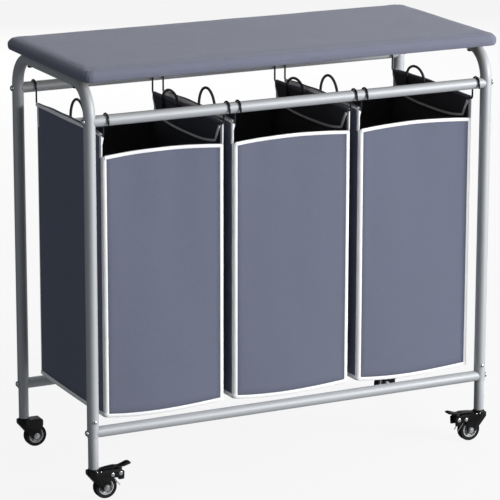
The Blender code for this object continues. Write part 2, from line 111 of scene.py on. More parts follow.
# Bags
BAG_MIDDLES = {"left": -0.294, "middle": 0.006, "right": 0.306}
BAG_HX = 0.1385
BAG_HY = 0.176
BAG_CORNER = 0.006
BAG_BASE_Z = 0.172
BAG_FRONT_Z = 0.730
BAG_HEM_DIP = 0.006
BAG_RIM_RISE = 0.0065
BAG_BELLY = 0.0050
BAG_RIM_PULL = 0.0035
BAG_WAIST = 0.0025
BAG_WAVE = 0.0016
BAG_FOLD = 0.0007
BAG_HANG = 0.0005
BAG_FLOOR_SAG = 0.0055
FABRIC = 0.0011
ROD_X = 0.13725
ROD_Z = 0.775
ROD_R = 0.002
SLEEVE_R = 0.0042
SLEEVE_Y = 0.1715
FLAP_LOW_Y = 0.148
FLAP_LOW_Z = 0.733
FLAP_DIP = 0.011
SLEEVE_PUFF = 0.0042
HOOK_R = 0.0141
HOOK_DROP = 0.008
TAPE = 0.0009
TAPE_FRONT = 0.0088
TAPE_SIDE = 0.0072
CORD_R = 0.003
CORD_X = 0.1279
CORD_SPAN = 0.040
CORD_FOOT_Z = 0.750
THREAD_R = 0.00022
STITCH = 0.0024
# (height of the top, middle along Y) of the left and the right cord loop of each bag
LOOPS = {
    "left": ((0.822, -0.026), (0.802, 0.066)),
    "middle": ((0.820, -0.024), (0.803, 0.061)),
    "right": ((0.819, -0.014), (0.805, 0.056)),
}

# Casters
TRAIL = 0.0255
WHEEL_R = 0.025
WHEEL_HW = 0.0088
HUB_R = 0.017
AXLE_Z = WHEEL_R
AXLE_R = 0.003
FORK_HW = 0.0125
WELL_HW = 0.0098
WELL_R = 0.0272
PIN_X = 0.057
PIN_Z = 0.053
PEDAL_HW = 0.0085
BLADE_HW = 0.0072

SIDES = (("left", -1), ("right", 1))
DEPTHS = (("front", -1), ("rear", 1))

# ---------------------------------------------------------------- camera and light

CAMERA_AT = (-2.78536, -5.60887, 2.07817)
CAMERA_YAW = math.radians(26.355)
CAMERA_PITCH = math.radians(14.635)
CAMERA_ROLL = 0.0020
CAMERA_LENS = 212.7


def make_camera():
    """The camera at the photograph's angle."""
    data = bpy.data.cameras.new("camera")
    data.lens = CAMERA_LENS
    data.sensor_width = 36.0
    data.clip_start = 0.1
    data.clip_end = 120.0
    cam = bpy.data.objects.new("camera", data)
    bpy.context.scene.collection.objects.link(cam)
    ahead = Vector(
        (
            math.sin(CAMERA_YAW) * math.cos(CAMERA_PITCH),
            math.cos(CAMERA_YAW) * math.cos(CAMERA_PITCH),
            -math.sin(CAMERA_PITCH),
        )
    )
    turn = ahead.to_track_quat("-Z", "Y").to_matrix().to_4x4()
    cam.matrix_world = Matrix.Translation(CAMERA_AT) @ turn @ Matrix.Rotation(CAMERA_ROLL, 4, "Z")
    bpy.context.scene.camera = cam


def area_light(name, place, target, size, power, colour=(1.0, 1.0, 1.0)):
    """A soft rectangular light that faces a target."""
    data = bpy.data.lights.new(name, "AREA")
    data.shape = "RECTANGLE"
    data.size, data.size_y = size
    data.energy = power
    data.color = colour
    light = bpy.data.objects.new(name, data)
    bpy.context.scene.collection.objects.link(light)
    light.location = place
    light.rotation_euler = (Vector(target) - Vector(place)).to_track_quat("-Z", "Y").to_euler()
    return light


def make_studio():
    """A world that is brighter on the right, a strong light from there, and four weaker ones."""
    world = bpy.data.worlds.new("studio")
    bpy.context.scene.world = world
    world.use_nodes = True
    tree = world.node_tree
    sky = tree.nodes["Background"]
    coord = tree.nodes.new("ShaderNodeTexCoord")
    parts = tree.nodes.new("ShaderNodeSeparateXYZ")
    tree.links.new(coord.outputs["Generated"], parts.inputs[0])
    ramp = tree.nodes.new("ShaderNodeMapRange")
    for key, value in (("From Min", -0.35), ("From Max", 0.75), ("To Min", 0.07), ("To Max", 0.62)):
        ramp.inputs[key].default_value = value
    tree.links.new(parts.outputs["X"], ramp.inputs["Value"])
    tree.links.new(ramp.outputs[0], sky.inputs["Strength"])
    sky.inputs["Color"].default_value = (0.97, 0.985, 1.0, 1.0)

    area_light("key", (3.9, -4.3, 2.05), (0.0, 0.0, 0.45), (2.8, 2.2), 450.0)
    top = area_light("top", (0.4, -0.4, 3.4), (0.0, 0.0, 0.6), (2.4, 2.0), 19.0)
    area_light("fill", (-4.6, -0.6, 1.2), (0.0, 0.0, 0.5), (2.6, 2.2), 26.0, (0.85, 0.92, 1.0))
    rim = area_light("rim", (3.2, 1.4, 1.6), (0.1, 0.0, 0.5), (0.8, 2.4), 20.0)
    back = area_light("back", (1.6, 4.6, 1.7), (0.0, 0.0, 0.45), (2.6, 2.0), 150.0)
    for light in (top, rim, back):
        light.visible_glossy = False

    bpy.context.scene.view_settings.view_transform = "Standard"


# ---------------------------------------------------------------- mesh helpers


def linked(name, mesh):
    """A new object in the scene for the mesh."""
    obj = bpy.data.objects.new(name, mesh)
    bpy.context.scene.collection.objects.link(obj)
    return obj


def baked(obj):
    """The mesh of an object after its modifiers, and the object removed."""
    bpy.context.view_layer.update()
    graph = bpy.context.evaluated_depsgraph_get()
    mesh = bpy.data.meshes.new_from_object(obj.evaluated_get(graph))
    mesh.transform(obj.matrix_world)
    bpy.data.objects.remove(obj, do_unlink=True)
    return mesh


def opened(mesh):
    """A BMesh of a mesh, to edit it in."""
    bm = bmesh.new()
    bm.from_mesh(mesh)
    return bm


def closed_up(bm, mesh=None):
    """A BMesh written back to its mesh, or to a new one, and freed."""
    mesh = mesh or bpy.data.meshes.new("work")
    bm.to_mesh(mesh)
    bm.free()
    return mesh


def changed(mesh, kind, **settings):
    """The mesh after one modifier."""
    body = linked("work", mesh)
    step = body.modifiers.new("step", kind)
    for key, value in settings.items():
        setattr(step, key, value)
    return baked(body)


def circle(steps):
    """Angles evenly spaced round a circle."""
    return [2 * math.pi * i / steps for i in range(steps)]


def skin(bm, first, second):
    """Faces between two rings of points."""
    for j in range(len(first)):
        k = (j + 1) % len(first)
        bm.faces.new((first[j], first[k], second[k], second[j]))


def outward(mesh, merge=1e-6):
    """The mesh with doubled points merged and its faces turned outwards."""
    bm = opened(mesh)
    if merge:
        bmesh.ops.remove_doubles(bm, verts=bm.verts, dist=merge)
    bmesh.ops.recalc_face_normals(bm, faces=bm.faces)
    return closed_up(bm, mesh)


def loft(rings, caps=True, loop=False):
    """Quads through closed rings of points, with a UV map in metres along and around the rings."""
    rows = np.array([[tuple(p) for p in ring] for ring in rings], float)
    count, around = rows.shape[:2]
    along_step = np.linalg.norm(np.diff(rows, axis=0), axis=2).mean(axis=1)
    along = np.concatenate([[0.0], np.cumsum(along_step)])
    middle = rows[count // 2]
    round_step = np.linalg.norm(np.roll(middle, -1, axis=0) - middle, axis=1)
    round_at = np.concatenate([[0.0], np.cumsum(round_step)])
    if loop:
        last = np.linalg.norm(rows[0] - rows[-1], axis=1).mean()
        along = np.append(along, along[-1] + last)
    faces, uvs = [], []
    for i in range(count if loop else count - 1):
        a, b = i * around, ((i + 1) % count) * around
        for j in range(around):
            k = (j + 1) % around
            faces.append((a + j, a + k, b + k, b + j))
            u0, u1, v0, v1 = along[i], along[i + 1], round_at[j], round_at[j + 1]
            uvs += [(u0, v0), (u0, v1), (u1, v1), (u1, v0)]
    if caps and not loop:
        for start in (0, (count - 1) * around):
            faces.append(tuple(range(start, start + around)))
            uvs += [(rows[start // around][j][0], rows[start // around][j][2]) for j in range(around)]
    mesh = bpy.data.meshes.new("loft")
    mesh.from_pydata([tuple(p) for p in rows.reshape(-1, 3)], [], faces)
    layer = mesh.uv_layers.new(name="UVMap")
    layer.data.foreach_set("uv", np.array(uvs, np.float32).ravel())
    return outward(mesh, 0)


def united(meshes, numbers=None):
    """Several meshes as one, each with its own material number if numbers are given."""
    bm = bmesh.new()
    bm.loops.layers.uv.new("UVMap")
    for index, mesh in enumerate(meshes):
        if numbers is not None:
            mesh.polygons.foreach_set("material_index", [numbers[index]] * len(mesh.polygons))
        bm.from_mesh(mesh)
    for mesh in meshes:
        bpy.data.meshes.remove(mesh)
    return closed_up(bm)


def moved(mesh, matrix):
    """A copy of the mesh put in place by a matrix, which may mirror it."""
    copy = mesh.copy()
    copy.transform(matrix)
    if matrix.determinant() < 0:
        copy.flip_normals()
    return copy


def arc(cx, cz, radius, start, stop, steps):
    """Points of an arc, in degrees."""
    angles = [math.radians(start + (stop - start) * i / steps) for i in range(steps + 1)]
    return [(cx + radius * math.cos(a), cz + radius * math.sin(a)) for a in angles]


def rounded(points, radius, steps=3, closed=False):
    """A line of 2D points with its corners rounded. `radius` is one number or one for each point."""
    radii = radius if isinstance(radius, (list, tuple)) else [radius] * len(points)
    out = []
    total = len(points)
    for i, (point, r) in enumerate(zip(points, radii)):
        if (not closed and i in (0, total - 1)) or r <= 0:
            out.append(tuple(point))
            continue
        here = Vector(point)
        before = Vector(points[i - 1]) - here
        after = Vector(points[(i + 1) % total]) - here
        reach = min(r, before.length * 0.49, after.length * 0.49)
        a, b = here + before.normalized() * reach, here + after.normalized() * reach
        for s in range(steps + 1):
            t = s / steps
            out.append(tuple(a * (1 - t) ** 2 + here * 2 * t * (1 - t) + b * t * t))
    return out


def lathe(profile, steps, along_y=False, centre=(0, 0, 0), closed=False):
    """A turned solid from (radius, height) points. An open profile starts and ends on the axis."""
    wide = profile if closed else profile[1:-1]
    rings = [[(r * math.cos(a), r * math.sin(a), h) for a in circle(steps)] for r, h in wide]
    mesh = loft(rings, caps=False, loop=closed)
    if not closed:
        bm = opened(mesh)
        for height, start in ((profile[0][1], 0), (profile[-1][1], (len(rings) - 1) * steps)):
            tip = bm.verts.new((0, 0, height))
            bm.verts.ensure_lookup_table()
            for j in range(steps):
                bm.faces.new((bm.verts[start + j], bm.verts[start + (j + 1) % steps], tip))
        bmesh.ops.recalc_face_normals(bm, faces=bm.faces)
        closed_up(bm, mesh)
    turn = math.radians(-90 if along_y else 0)
    mesh.transform(Matrix.Translation(centre) @ Matrix.Rotation(turn, 4, "X"))
    return mesh


def cylinder(radius, half, steps, x=0.0, z=0.0):
    """A round bar along Y."""
    return lathe([(0, -half), (radius, -half), (radius, half), (0, half)], steps, True, (x, 0, z))


def dome(radius, height, low, high, steps):
    """Profile points of a domed head, from its edge in towards the axis, between two angles."""
    return [(radius * math.cos(a), height * math.sin(a)) for a in np.linspace(low, high, steps)]


def path_frames(points):
    """(point, side, up) along a line, turned as little as possible from one to the next."""
    pts = [Vector(p) for p in points]
    count = len(pts)
    tangents = []
    for i in range(count):
        tangents.append((pts[min(i + 1, count - 1)] - pts[max(i - 1, 0)]).normalized())
    start = Vector((0, 0, 1)) if abs(tangents[0].z) < 0.9 else Vector((1, 0, 0))
    side = tangents[0].cross(start).normalized()
    frames = []
    for point, tangent in zip(pts, tangents):
        side = (side - tangent * side.dot(tangent)).normalized()
        frames.append((point, side, side.cross(tangent).normalized()))
    return frames


def tube(points, radius, sides, domes=0, mouth=None):
    """A round tube along a line. `domes` rounds its ends off; `mouth` is the bore of open ends."""
    deep, ease = 0.012, 0.0003
    frames = path_frames(points)

    def ring(frame, r, shift=0.0):
        point, side, up = frame
        middle = point + side.cross(up) * shift
        return [middle + side * (r * math.cos(a)) + up * (r * math.sin(a)) for a in circle(sides)]

    step = Vector(points[1]) - Vector(points[0])
    sign = 1.0 if frames[0][1].cross(frames[0][2]).dot(step) < 0 else -1.0
    first, last = [], []
    for k in range(domes):
        a = math.pi / 2 * (domes - k) / domes
        r, out = radius * max(math.cos(a), 0.08), radius * math.sin(a)
        first.append(ring(frames[0], r, sign * out))
        last.insert(0, ring(frames[-1], r, -sign * out))
    body = [ring(f, radius) for f in frames]
    if mouth is not None:
        for end, turn, rings in ((0, -sign, first), (-1, sign, last)):
            body[end] = ring(frames[end], radius, turn * ease)
            bore = [(mouth, turn * deep), (mouth, 0), (radius - ease, 0)]
            rings.extend(ring(frames[end], r, shift) for r, shift in bore)
        last.reverse()
    return loft(first + body + last)


def prism(outline, half_width):
    """An outline in X and Z, given its width along Y."""
    bm = bmesh.new()
    face = bm.faces.new([bm.verts.new((x, -half_width, z)) for x, z in outline])
    side = bmesh.ops.extrude_face_region(bm, geom=[face])["geom"]
    fresh = [v for v in side if isinstance(v, bmesh.types.BMVert)]
    bmesh.ops.translate(bm, verts=fresh, vec=(0, 2 * half_width, 0))
    bmesh.ops.recalc_face_normals(bm, faces=bm.faces)
    return closed_up(bm)


def ordered(mesh):
    """The mesh with its points and faces in an order that depends only on where they are.

    A Boolean returns them in a different order each time, and the steps after it depend on the order.
    """
    spots = [tuple(round(c, 7) for c in v.co) for v in mesh.vertices]
    order = sorted(range(len(spots)), key=spots.__getitem__)
    rank = {old: new for new, old in enumerate(order)}
    faces = []
    for polygon in mesh.polygons:
        corners = [rank[i] for i in polygon.vertices]
        start = corners.index(min(corners))
        faces.append(corners[start:] + corners[:start])
    fresh = bpy.data.meshes.new("ordered")
    fresh.from_pydata([mesh.vertices[i].co for i in order], [], sorted(faces))
    return fresh


def combined(mesh, others, operation):
    """The mesh after one exact Boolean with each of the other meshes in turn."""
    body = linked("work", mesh)
    tools = [linked("tool", other) for other in others]
    for tool in tools:
        step = body.modifiers.new("cut", "BOOLEAN")
        step.operation = operation
        step.solver = "EXACT"
        step.object = tool
    result = baked(body)
    for tool in tools:
        bpy.data.objects.remove(tool, do_unlink=True)
    return ordered(outward(result))


def block(low, high):
    """A box between two corners."""
    mesh = prism([(low[0], low[2]), (high[0], low[2]), (high[0], high[2]), (low[0], high[2])], 0.5)
    size = high[1] - low[1]
    mesh.transform(Matrix.Translation((0, (low[1] + high[1]) / 2, 0)) @ Matrix.Diagonal((1, size, 1, 1)))
    return mesh


def cleaned(mesh, reach, flat=False):
    """The mesh without the slivers shorter than reach and, if asked, without edges across flat faces."""
    bm = opened(mesh)
    bmesh.ops.remove_doubles(bm, verts=bm.verts, dist=reach)
    bmesh.ops.dissolve_degenerate(bm, edges=bm.edges, dist=reach * 0.8)
    if flat:
        bmesh.ops.dissolve_limit(bm, angle_limit=0.01, verts=bm.verts, edges=bm.edges)
    return closed_up(bm, mesh)


def softened(mesh, width, segments, angle):
    """The mesh with its sharper edges rounded over."""
    limit = {"limit_method": "ANGLE", "angle_limit": math.radians(angle)}
    mesh = cleaned(mesh, 0.00006, True)
    return cleaned(changed(mesh, "BEVEL", width=width, segments=segments, **limit), 0.00002)


def piece(name, mesh, body, looks, stands_for=(), smooth=35):
    """One finished visible piece: it rides on a body and takes its finish from a slot."""
    obj = linked(name, mesh)
    numbers = np.zeros(len(mesh.polygons), np.int32)
    mesh.polygons.foreach_get("material_index", numbers)
    mesh.materials.clear()
    for look in looks:
        mesh.materials.append(look)
    mesh.polygons.foreach_set("material_index", np.minimum(numbers, len(looks) - 1))
    mesh.shade_smooth()
    mesh.set_sharp_from_angle(angle=math.radians(smooth))
    if not mesh.uv_layers:
        mesh.uv_layers.new(name="UVMap")
    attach(obj, body)
    if stands_for:
        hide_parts(*stands_for)
    return obj


# ---------------------------------------------------------------- materials


class Graph:
    """Builds a material's nodes. A value may be a number, a tuple or another node's output."""

    def __init__(self, name, colour=None):
        self.colour = colour
        self.material = bpy.data.materials.new(name)
        self.material.use_nodes = True
        self.tree = self.material.node_tree
        self.shader = self.tree.nodes["Principled BSDF"]
        self.coord = self.node("ShaderNodeTexCoord").outputs
        self.at = self.coord["Object"]

    def put(self, socket, value):
        if isinstance(value, bpy.types.NodeSocket):
            self.tree.links.new(value, socket)
        else:
            socket.default_value = value

    def node(self, kind, inputs=None, **settings):
        made = self.tree.nodes.new(kind)
        for key, value in settings.items():
            setattr(made, key, value)
        for key, value in (inputs or {}).items():
            self.put(made.inputs[key], value)
        return made

    def math(self, operation, a, b=0.0, c=0.0):
        return self.node("ShaderNodeMath", {0: a, 1: b, 2: c}, operation=operation).outputs[0]

    def noise(self, vector, scale, detail=3.0, rough=0.5):
        inputs = {"Vector": vector, "Scale": scale, "Detail": detail, "Roughness": rough}
        return self.node("ShaderNodeTexNoise", inputs).outputs["Fac"]

    def span(self, value, low, high, to_low, to_high):
        inputs = {"Value": value, "From Min": low, "From Max": high, "To Min": to_low, "To Max": to_high}
        return self.node("ShaderNodeMapRange", inputs).outputs[0]

    def mix(self, factor, a, b):
        return self.node("ShaderNodeMix", {0: factor, 6: a, 7: b}, data_type="RGBA").outputs[2]

    def shaded(self, factor, a, b):
        """Shades of the material's own colour: from share a of it, or from the tone a, to share b of it."""
        low = self.tint(a) if isinstance(a, float) else a
        return self.mix(factor, low, self.tint(b))

    def tint(self, share):
        return tuple(min(1.0, c * share) for c in self.colour[:3]) + (1.0,)

    def split(self, vector):
        return self.node("ShaderNodeSeparateXYZ", {0: vector}).outputs

    def stretched(self, scale):
        return self.node("ShaderNodeMapping", {"Vector": self.at, "Scale": scale}).outputs[0]

    def bump(self, height, distance, strength, normal=None):
        inputs = {"Height": height, "Distance": distance, "Strength": strength}
        if normal is not None:
            inputs["Normal"] = normal
        return self.node("ShaderNodeBump", inputs).outputs[0]

    def finish(self, colour, rough, normal=None, **constants):
        self.put(self.shader.inputs["Base Color"], colour)
        self.put(self.shader.inputs["Roughness"], rough)
        if normal is not None:
            self.put(self.shader.inputs["Normal"], normal)
        for key, value in constants.items():
            self.shader.inputs[key.replace("_", " ")].default_value = value
        return self.material


def coated_metal(name, colour, rough, metallic, peel):
    """Silver powder coat or plating: orange peel, faint marks, and brighter worn spots."""
    g = Graph(name, colour)
    cloud = g.noise(g.at, 6.0, 4.0)
    fine = g.noise(g.at, 900.0, 2.0)
    scuffs = g.noise(g.stretched((18.0, 18.0, 140.0)), 3.0, 6.0, 0.7)
    marks = g.span(scuffs, 0.62, 0.72, 0.0, 1.0)
    shade = g.shaded(cloud, 0.93, 1.06)
    flecked = g.shaded(g.span(fine, 0.45, 0.75, 0.0, 0.16), shade, 1.35)
    worn = g.mix(g.math("MULTIPLY", marks, 0.25), flecked, (0.62, 0.63, 0.64, 1.0))
    dulled = g.math("MULTIPLY", marks, 0.1)
    roughness = g.math("ADD", g.span(cloud, 0.3, 0.7, rough - 0.03, rough + 0.04), dulled)
    normal = g.bump(fine, peel, 0.5, g.bump(g.noise(g.at, 220.0, 2.0), peel, 0.6))
    return g.finish(worn, roughness, normal, Metallic=metallic)


def moulded(name, colour, rough, grain, edge, gloss):
    """Moulded plastic: a fine etched grain, rubbed a little lighter on its raised edges."""
    g = Graph(name, colour)
    fine = g.noise(g.at, 1400.0, 2.0)
    cloud = g.noise(g.at, 30.0, 3.0)
    ridge = g.node("ShaderNodeNewGeometry").outputs["Pointiness"]
    rubbed = g.math("MULTIPLY", g.span(ridge, 0.52, 0.60, 0.0, 1.0), g.span(cloud, 0.35, 0.65, 0.2, 0.8))
    shade = g.shaded(cloud, 0.85, 1.15)
    shade = g.shaded(rubbed, shade, edge)
    roughness = g.span(fine, 0.3, 0.7, rough - 0.05, rough + 0.06)
    return g.finish(shade, roughness, g.bump(fine, grain, 0.6), Specular_IOR_Level=gloss)


def woven(name, colour, pitch, rough, relief, sheen):
    """Plain weave: over and under threads, slubs, and slow changes of tone over the cloth, with painted
    shade in the crevices between threads and beside the bag seams.
    """
    g = Graph(name, colour)
    place = g.split(g.at)
    facing = g.split(g.coord["Normal"])
    to_side = g.math("GREATER_THAN", g.math("ABSOLUTE", facing["X"]), 0.72)
    to_top = g.math("GREATER_THAN", g.math("ABSOLUTE", facing["Z"]), 0.72)

    def choose(flag, no, yes):
        kept = g.math("MULTIPLY", no, g.math("SUBTRACT", 1.0, flag))
        return g.math("MULTIPLY_ADD", yes, flag, kept)

    across = choose(to_side, place["X"], place["Y"])
    down = choose(to_top, place["Z"], place["Y"])
    turns = math.pi / pitch
    warp = g.math("SINE", g.math("MULTIPLY", across, turns))
    weft = g.math("SINE", g.math("MULTIPLY", down, turns))
    over = g.math("GREATER_THAN", g.math("MULTIPLY", warp, weft), 0.0)
    thread = choose(over, g.math("ABSOLUTE", warp), g.math("ABSOLUTE", weft))
    cloud = g.noise(g.at, 7.0, 4.0, 0.55)
    slub = g.noise(g.stretched((1.0, 1.0, 14.0)), 90.0, 2.0)
    speck = g.noise(g.at, 700.0, 2.0)
    tone = g.shaded(cloud, 0.94, 1.06)
    tone = g.shaded(g.span(slub, 0.35, 0.7, 0.0, 0.5), tone, 1.1)
    tone = g.shaded(g.span(speck, 0.4, 0.7, 0.0, 0.4), tone, 0.8)
    # Painted shade in the crevices between threads.
    tone = g.shaded(g.span(thread, 0.0, 0.5, 0.28, 0.0), tone, 0.45)
    # Painted shade beside the bag seams and the foot, driven by the `seam` weight on the bag walls.
    seam = g.node("ShaderNodeAttribute", attribute_name="seam").outputs["Fac"]
    tone = g.shaded(g.math("MULTIPLY", seam, 0.5), tone, 0.45)
    roughness = g.span(cloud, 0.3, 0.7, rough - 0.04, rough + 0.06)
    normal = g.bump(thread, relief, 0.8, g.bump(g.noise(g.at, 55.0, 3.0), 0.0006, 0.5))
    return g.finish(
        tone, roughness, normal, Sheen_Weight=sheen, Sheen_Roughness=0.6, Specular_IOR_Level=0.25
    )


def ribbed_tape(name, colour):
    """White grosgrain tape: ribs across it with painted shade in their furrows, and slow changes of tone
    along it.
    """
    g = Graph(name, colour)
    rib_pitch = 0.0011
    turn = g.math("MULTIPLY", g.split(g.coord["UV"])["X"], math.pi / rib_pitch)
    rib = g.math("ABSOLUTE", g.math("SINE", turn))
    cloud = g.noise(g.at, 25.0, 4.0)
    tone = g.shaded(cloud, 0.95, 1.03)
    # Painted shade in the furrows between ribs.
    tone = g.shaded(g.span(rib, 0.0, 0.4, 0.2, 0.0), tone, 0.85)
    normal = g.bump(rib, 0.00012, 0.6, g.bump(g.noise(g.at, 120.0, 2.0), 0.0003, 0.4))
    return g.finish(tone, g.span(cloud, 0.3, 0.7, 0.66, 0.8), normal, Sheen_Weight=0.1)


def braided(name, colour):
    """Round braided cord: crossing strands that wind both ways round it, with painted highlights on their
    crests and painted shade between them.
    """
    g = Graph(name, colour)
    strand_pitch = 0.0024
    uv = g.split(g.coord["UV"])
    along = g.math("MULTIPLY", uv["X"], math.pi / strand_pitch)
    round_it = g.math("MULTIPLY", uv["Y"], 2 / CORD_R)
    one = g.math("SINE", g.math("ADD", along, round_it))
    two = g.math("SINE", g.math("SUBTRACT", along, round_it))
    strand = g.math("MAXIMUM", g.math("ABSOLUTE", one), g.math("ABSOLUTE", two))
    fuzz = g.noise(g.at, 900.0, 3.0)
    # Painted highlight on the strand crests and painted shade in the grooves between strands.
    tone = g.shaded(g.span(strand, 0.7, 1.0, 0.0, 1.0), 0.4, 1.6)
    tone = g.shaded(g.math("MULTIPLY", fuzz, 0.4), tone, 2.6)
    normal = g.bump(strand, 0.0005, 0.9, g.bump(fuzz, 0.0001, 0.5))
    return g.finish(tone, g.span(fuzz, 0.3, 0.7, 0.75, 0.95), normal, Sheen_Weight=0.3)


def enamelled(name, colour):
    """Dipped black wire: glossy, with a slight ripple and dulled patches."""
    g = Graph(name, colour)
    ripple = g.noise(g.at, 160.0, 2.0)
    dull = g.noise(g.at, 45.0, 4.0)
    tone = g.shaded(dull, 0.8, 1.6)
    roughness = g.span(dull, 0.4, 0.75, 0.14, 0.34)
    return g.finish(tone, roughness, g.bump(ripple, 0.0001, 0.5), Coat_Weight=0.4, Coat_Roughness=0.12)


def tread_rubber(name, colour):
    """Black tread: fine texture and patches of dust."""
    g = Graph(name, colour)
    fine = g.noise(g.at, 1100.0, 3.0)
    dust = g.noise(g.at, 80.0, 5.0, 0.65)
    tone = g.mix(g.span(dust, 0.5, 0.75, 0.0, 0.5), colour, (0.035, 0.034, 0.033, 1.0))
    normal = g.bump(fine, 0.00008, 0.7)
    return g.finish(tone, g.span(dust, 0.3, 0.7, 0.62, 0.85), normal, Specular_IOR_Level=0.2)


def particle_board(name):
    """Pressed chips of many browns."""
    g = Graph(name)
    cells = g.node("ShaderNodeTexVoronoi", {"Vector": g.stretched((1.0, 1.7, 1.0)), "Scale": 260.0})
    chip = g.node("ShaderNodeSeparateColor", {0: cells.outputs["Color"]}).outputs[0]
    dust = g.noise(g.at, 800.0, 3.0)
    tone = g.mix(chip, (0.30, 0.19, 0.10, 1.0), (0.56, 0.40, 0.24, 1.0))
    tone = g.mix(g.math("MULTIPLY", dust, 0.4), tone, (0.20, 0.12, 0.06, 1.0))
    return g.finish(tone, g.span(dust, 0.3, 0.7, 0.68, 0.9), g.bump(chip, 0.0002, 0.4))


def sewing_thread(name, colour):
    """Twisted thread, lighter and darker along its strands."""
    g = Graph(name, colour)
    twist = g.noise(g.at, 1500.0, 2.0)
    tone = g.shaded(twist, 0.75, 1.1)
    return g.finish(tone, g.span(twist, 0.3, 0.7, 0.5, 0.7), g.bump(twist, 0.0001, 0.6))


def floor_look(name):
    """A floor that glows evenly, so that only a faint shadow shows on it."""
    g = Graph(name)
    cloud = g.noise(g.at, 1.2, 3.0)
    tone = g.mix(cloud, (0.044, 0.044, 0.044, 1.0), (0.047, 0.047, 0.047, 1.0))
    glow = {"Emission_Color": (1.0, 1.0, 1.0, 1.0), "Emission_Strength": 0.888}
    return g.finish(tone, g.span(cloud, 0.3, 0.7, 0.85, 0.95), None, Specular_IOR_Level=0.0, **glow)


def sky_look(name):
    """The plain backdrop's even glow."""
    made = bpy.data.materials.new(name)
    made.use_nodes = True
    tree = made.node_tree
    tree.nodes.clear()
    glow = tree.nodes.new("ShaderNodeEmission")
    glow.inputs["Color"].default_value = (0.913, 0.913, 0.913, 1.0)
    out = tree.nodes.new("ShaderNodeOutputMaterial")
    tree.links.new(glow.outputs[0], out.inputs["Surface"])
    return made


SILVER = coated_metal("silver_tube", (0.43, 0.445, 0.465, 1.0), 0.54, 0.2, 0.00006)
ZINC = coated_metal("zinc", (0.60, 0.61, 0.63, 1.0), 0.26, 1.0, 0.00003)
PLASTIC = moulded("black_plastic", (0.0045, 0.0045, 0.005, 1.0), 0.34, 0.00005, 1.9, 0.2)
HUB = moulded("hub_plastic", (0.42, 0.43, 0.44, 1.0), 0.36, 0.00003, 1.2, 0.5)
RUBBER = tread_rubber("tyre_rubber", (0.006, 0.006, 0.006, 1.0))
WIRE = enamelled("black_wire", (0.010, 0.010, 0.011, 1.0))
CLOTH = woven("bag_fabric", (0.136, 0.151, 0.213, 1.0), 0.0009, 0.85, 0.00016, 0.12)
# Dark inner face of the bags, partly painted shade; the same finish on the flaps' folded-down outer cloth is
# painted shade.
LINING_AND_SHADE = woven("bag_lining_and_shade", (0.058, 0.062, 0.078, 1.0), 0.0009, 0.8, 0.00012, 0.05)
PAD_CLOTH = woven("pad_fabric", (0.165, 0.174, 0.236, 1.0), 0.0011, 0.82, 0.0002, 0.15)
TAPE_LOOK = ribbed_tape("binding_tape", (0.94, 0.94, 0.95, 1.0))
CORD_LOOK = braided("cord", (0.010, 0.010, 0.010, 1.0))
WEBBING = woven("webbing", (0.012, 0.012, 0.013, 1.0), 0.0012, 0.8, 0.0003, 0.1)
CHIPBOARD = particle_board("particle_board")
THREAD = sewing_thread("grey_thread", (0.10, 0.105, 0.13, 1.0))

# ---------------------------------------------------------------- frame


def arch_line(steps):
    """The middle line of an end frame, from the front foot over to the rear foot: (y, z)."""
    bend_y = POST_Y - BEND_R
    bend_z = FRAME_TOP_Z - BEND_R
    line = [(-POST_Y, POST_FOOT_Z), (-POST_Y, 0.35), (-POST_Y, 0.6)]
    line += arc(-bend_y, bend_z, BEND_R, 180, 90, steps)
    line += [(-0.06, FRAME_TOP_Z), (0.06, FRAME_TOP_Z)]
    line += arc(bend_y, bend_z, BEND_R, 90, 0, steps)
    line += [(POST_Y, 0.6), (POST_Y, 0.35), (POST_Y, POST_FOOT_Z)]
    return line


def rail_mesh(y, z):
    """A rail between the posts, each end coped to the round post it meets."""
    reach = POST_R + 0.0002
    rings = []
    for share in (-1.0, -0.9985, -0.97, -0.6, -0.2, 0.2, 0.6, 0.97, 0.9985, 1.0):
        radius = RAIL_R - (0.0003 if abs(share) == 1.0 else 0.0)
        ring = []
        for a in circle(40):
            dy, dz = radius * math.cos(a), radius * math.sin(a)
            end = POST_X - math.sqrt(reach**2 - dy**2)
            ring.append((end * share, y + dy, z + dz))
        rings.append(ring)
    return loft(rings)


def bolt_mesh(side):
    """A domed bolt head with a driver recess, on a washer, at the post's outer face."""
    washer_r, washer_h, head_r, edge_h = 0.0068, 0.0009, 0.0062, 0.0014
    washer = rounded([(0.0, 0.0), (washer_r, 0.0), (washer_r, washer_h), (0.0, washer_h)], 0.0003, 2)
    head = [(0.0, washer_h), (head_r - 0.0002, washer_h), (head_r, edge_h)]
    head += [(r, edge_h + h) for r, h in dome(head_r, 0.0034, 0.15, 1.2, 8)]
    head += [(0.0018, 0.00445), (0.0016, 0.0036), (0.0, 0.0034)]
    made = united([lathe(washer, 32), lathe(head, 32)])
    made.transform(Matrix.Rotation(math.radians(side * 90), 4, "Y"))
    return moved(made, Matrix.Translation((side * (POST_R + 0.0004), 0, 0)))


def turned_ring(section, rounding, steps, centre=(0, 0, 0)):
    """A turned ring with rounded edges."""
    return lathe(rounded(section, rounding, 2, True), steps, centre=centre, closed=True)


def snap_button(depth):
    """The spring button that locks a leg, in the rim of its hole. It points along Y."""
    low = -0.0030
    knob = [(0.0, low), (BUTTON_R, low), (BUTTON_R, 0.0004)]
    knob += [(r, 0.0004 + h) for r, h in dome(BUTTON_R, 0.0016, 0.2, 1.35, 7)]
    knob.append((0.0, 0.0020))
    inner, outer = BUTTON_R + 0.0003, BUTTON_R + 0.0013
    rim = [(inner, low), (inner, 0.0003), (outer, 0.0002), (outer, low)]
    mesh = united([lathe(knob, 28), turned_ring(rim, 0.0003, 28)], [0, 1])
    mesh.transform(Matrix.Rotation(math.radians(-depth * 90), 4, "X"))
    return mesh


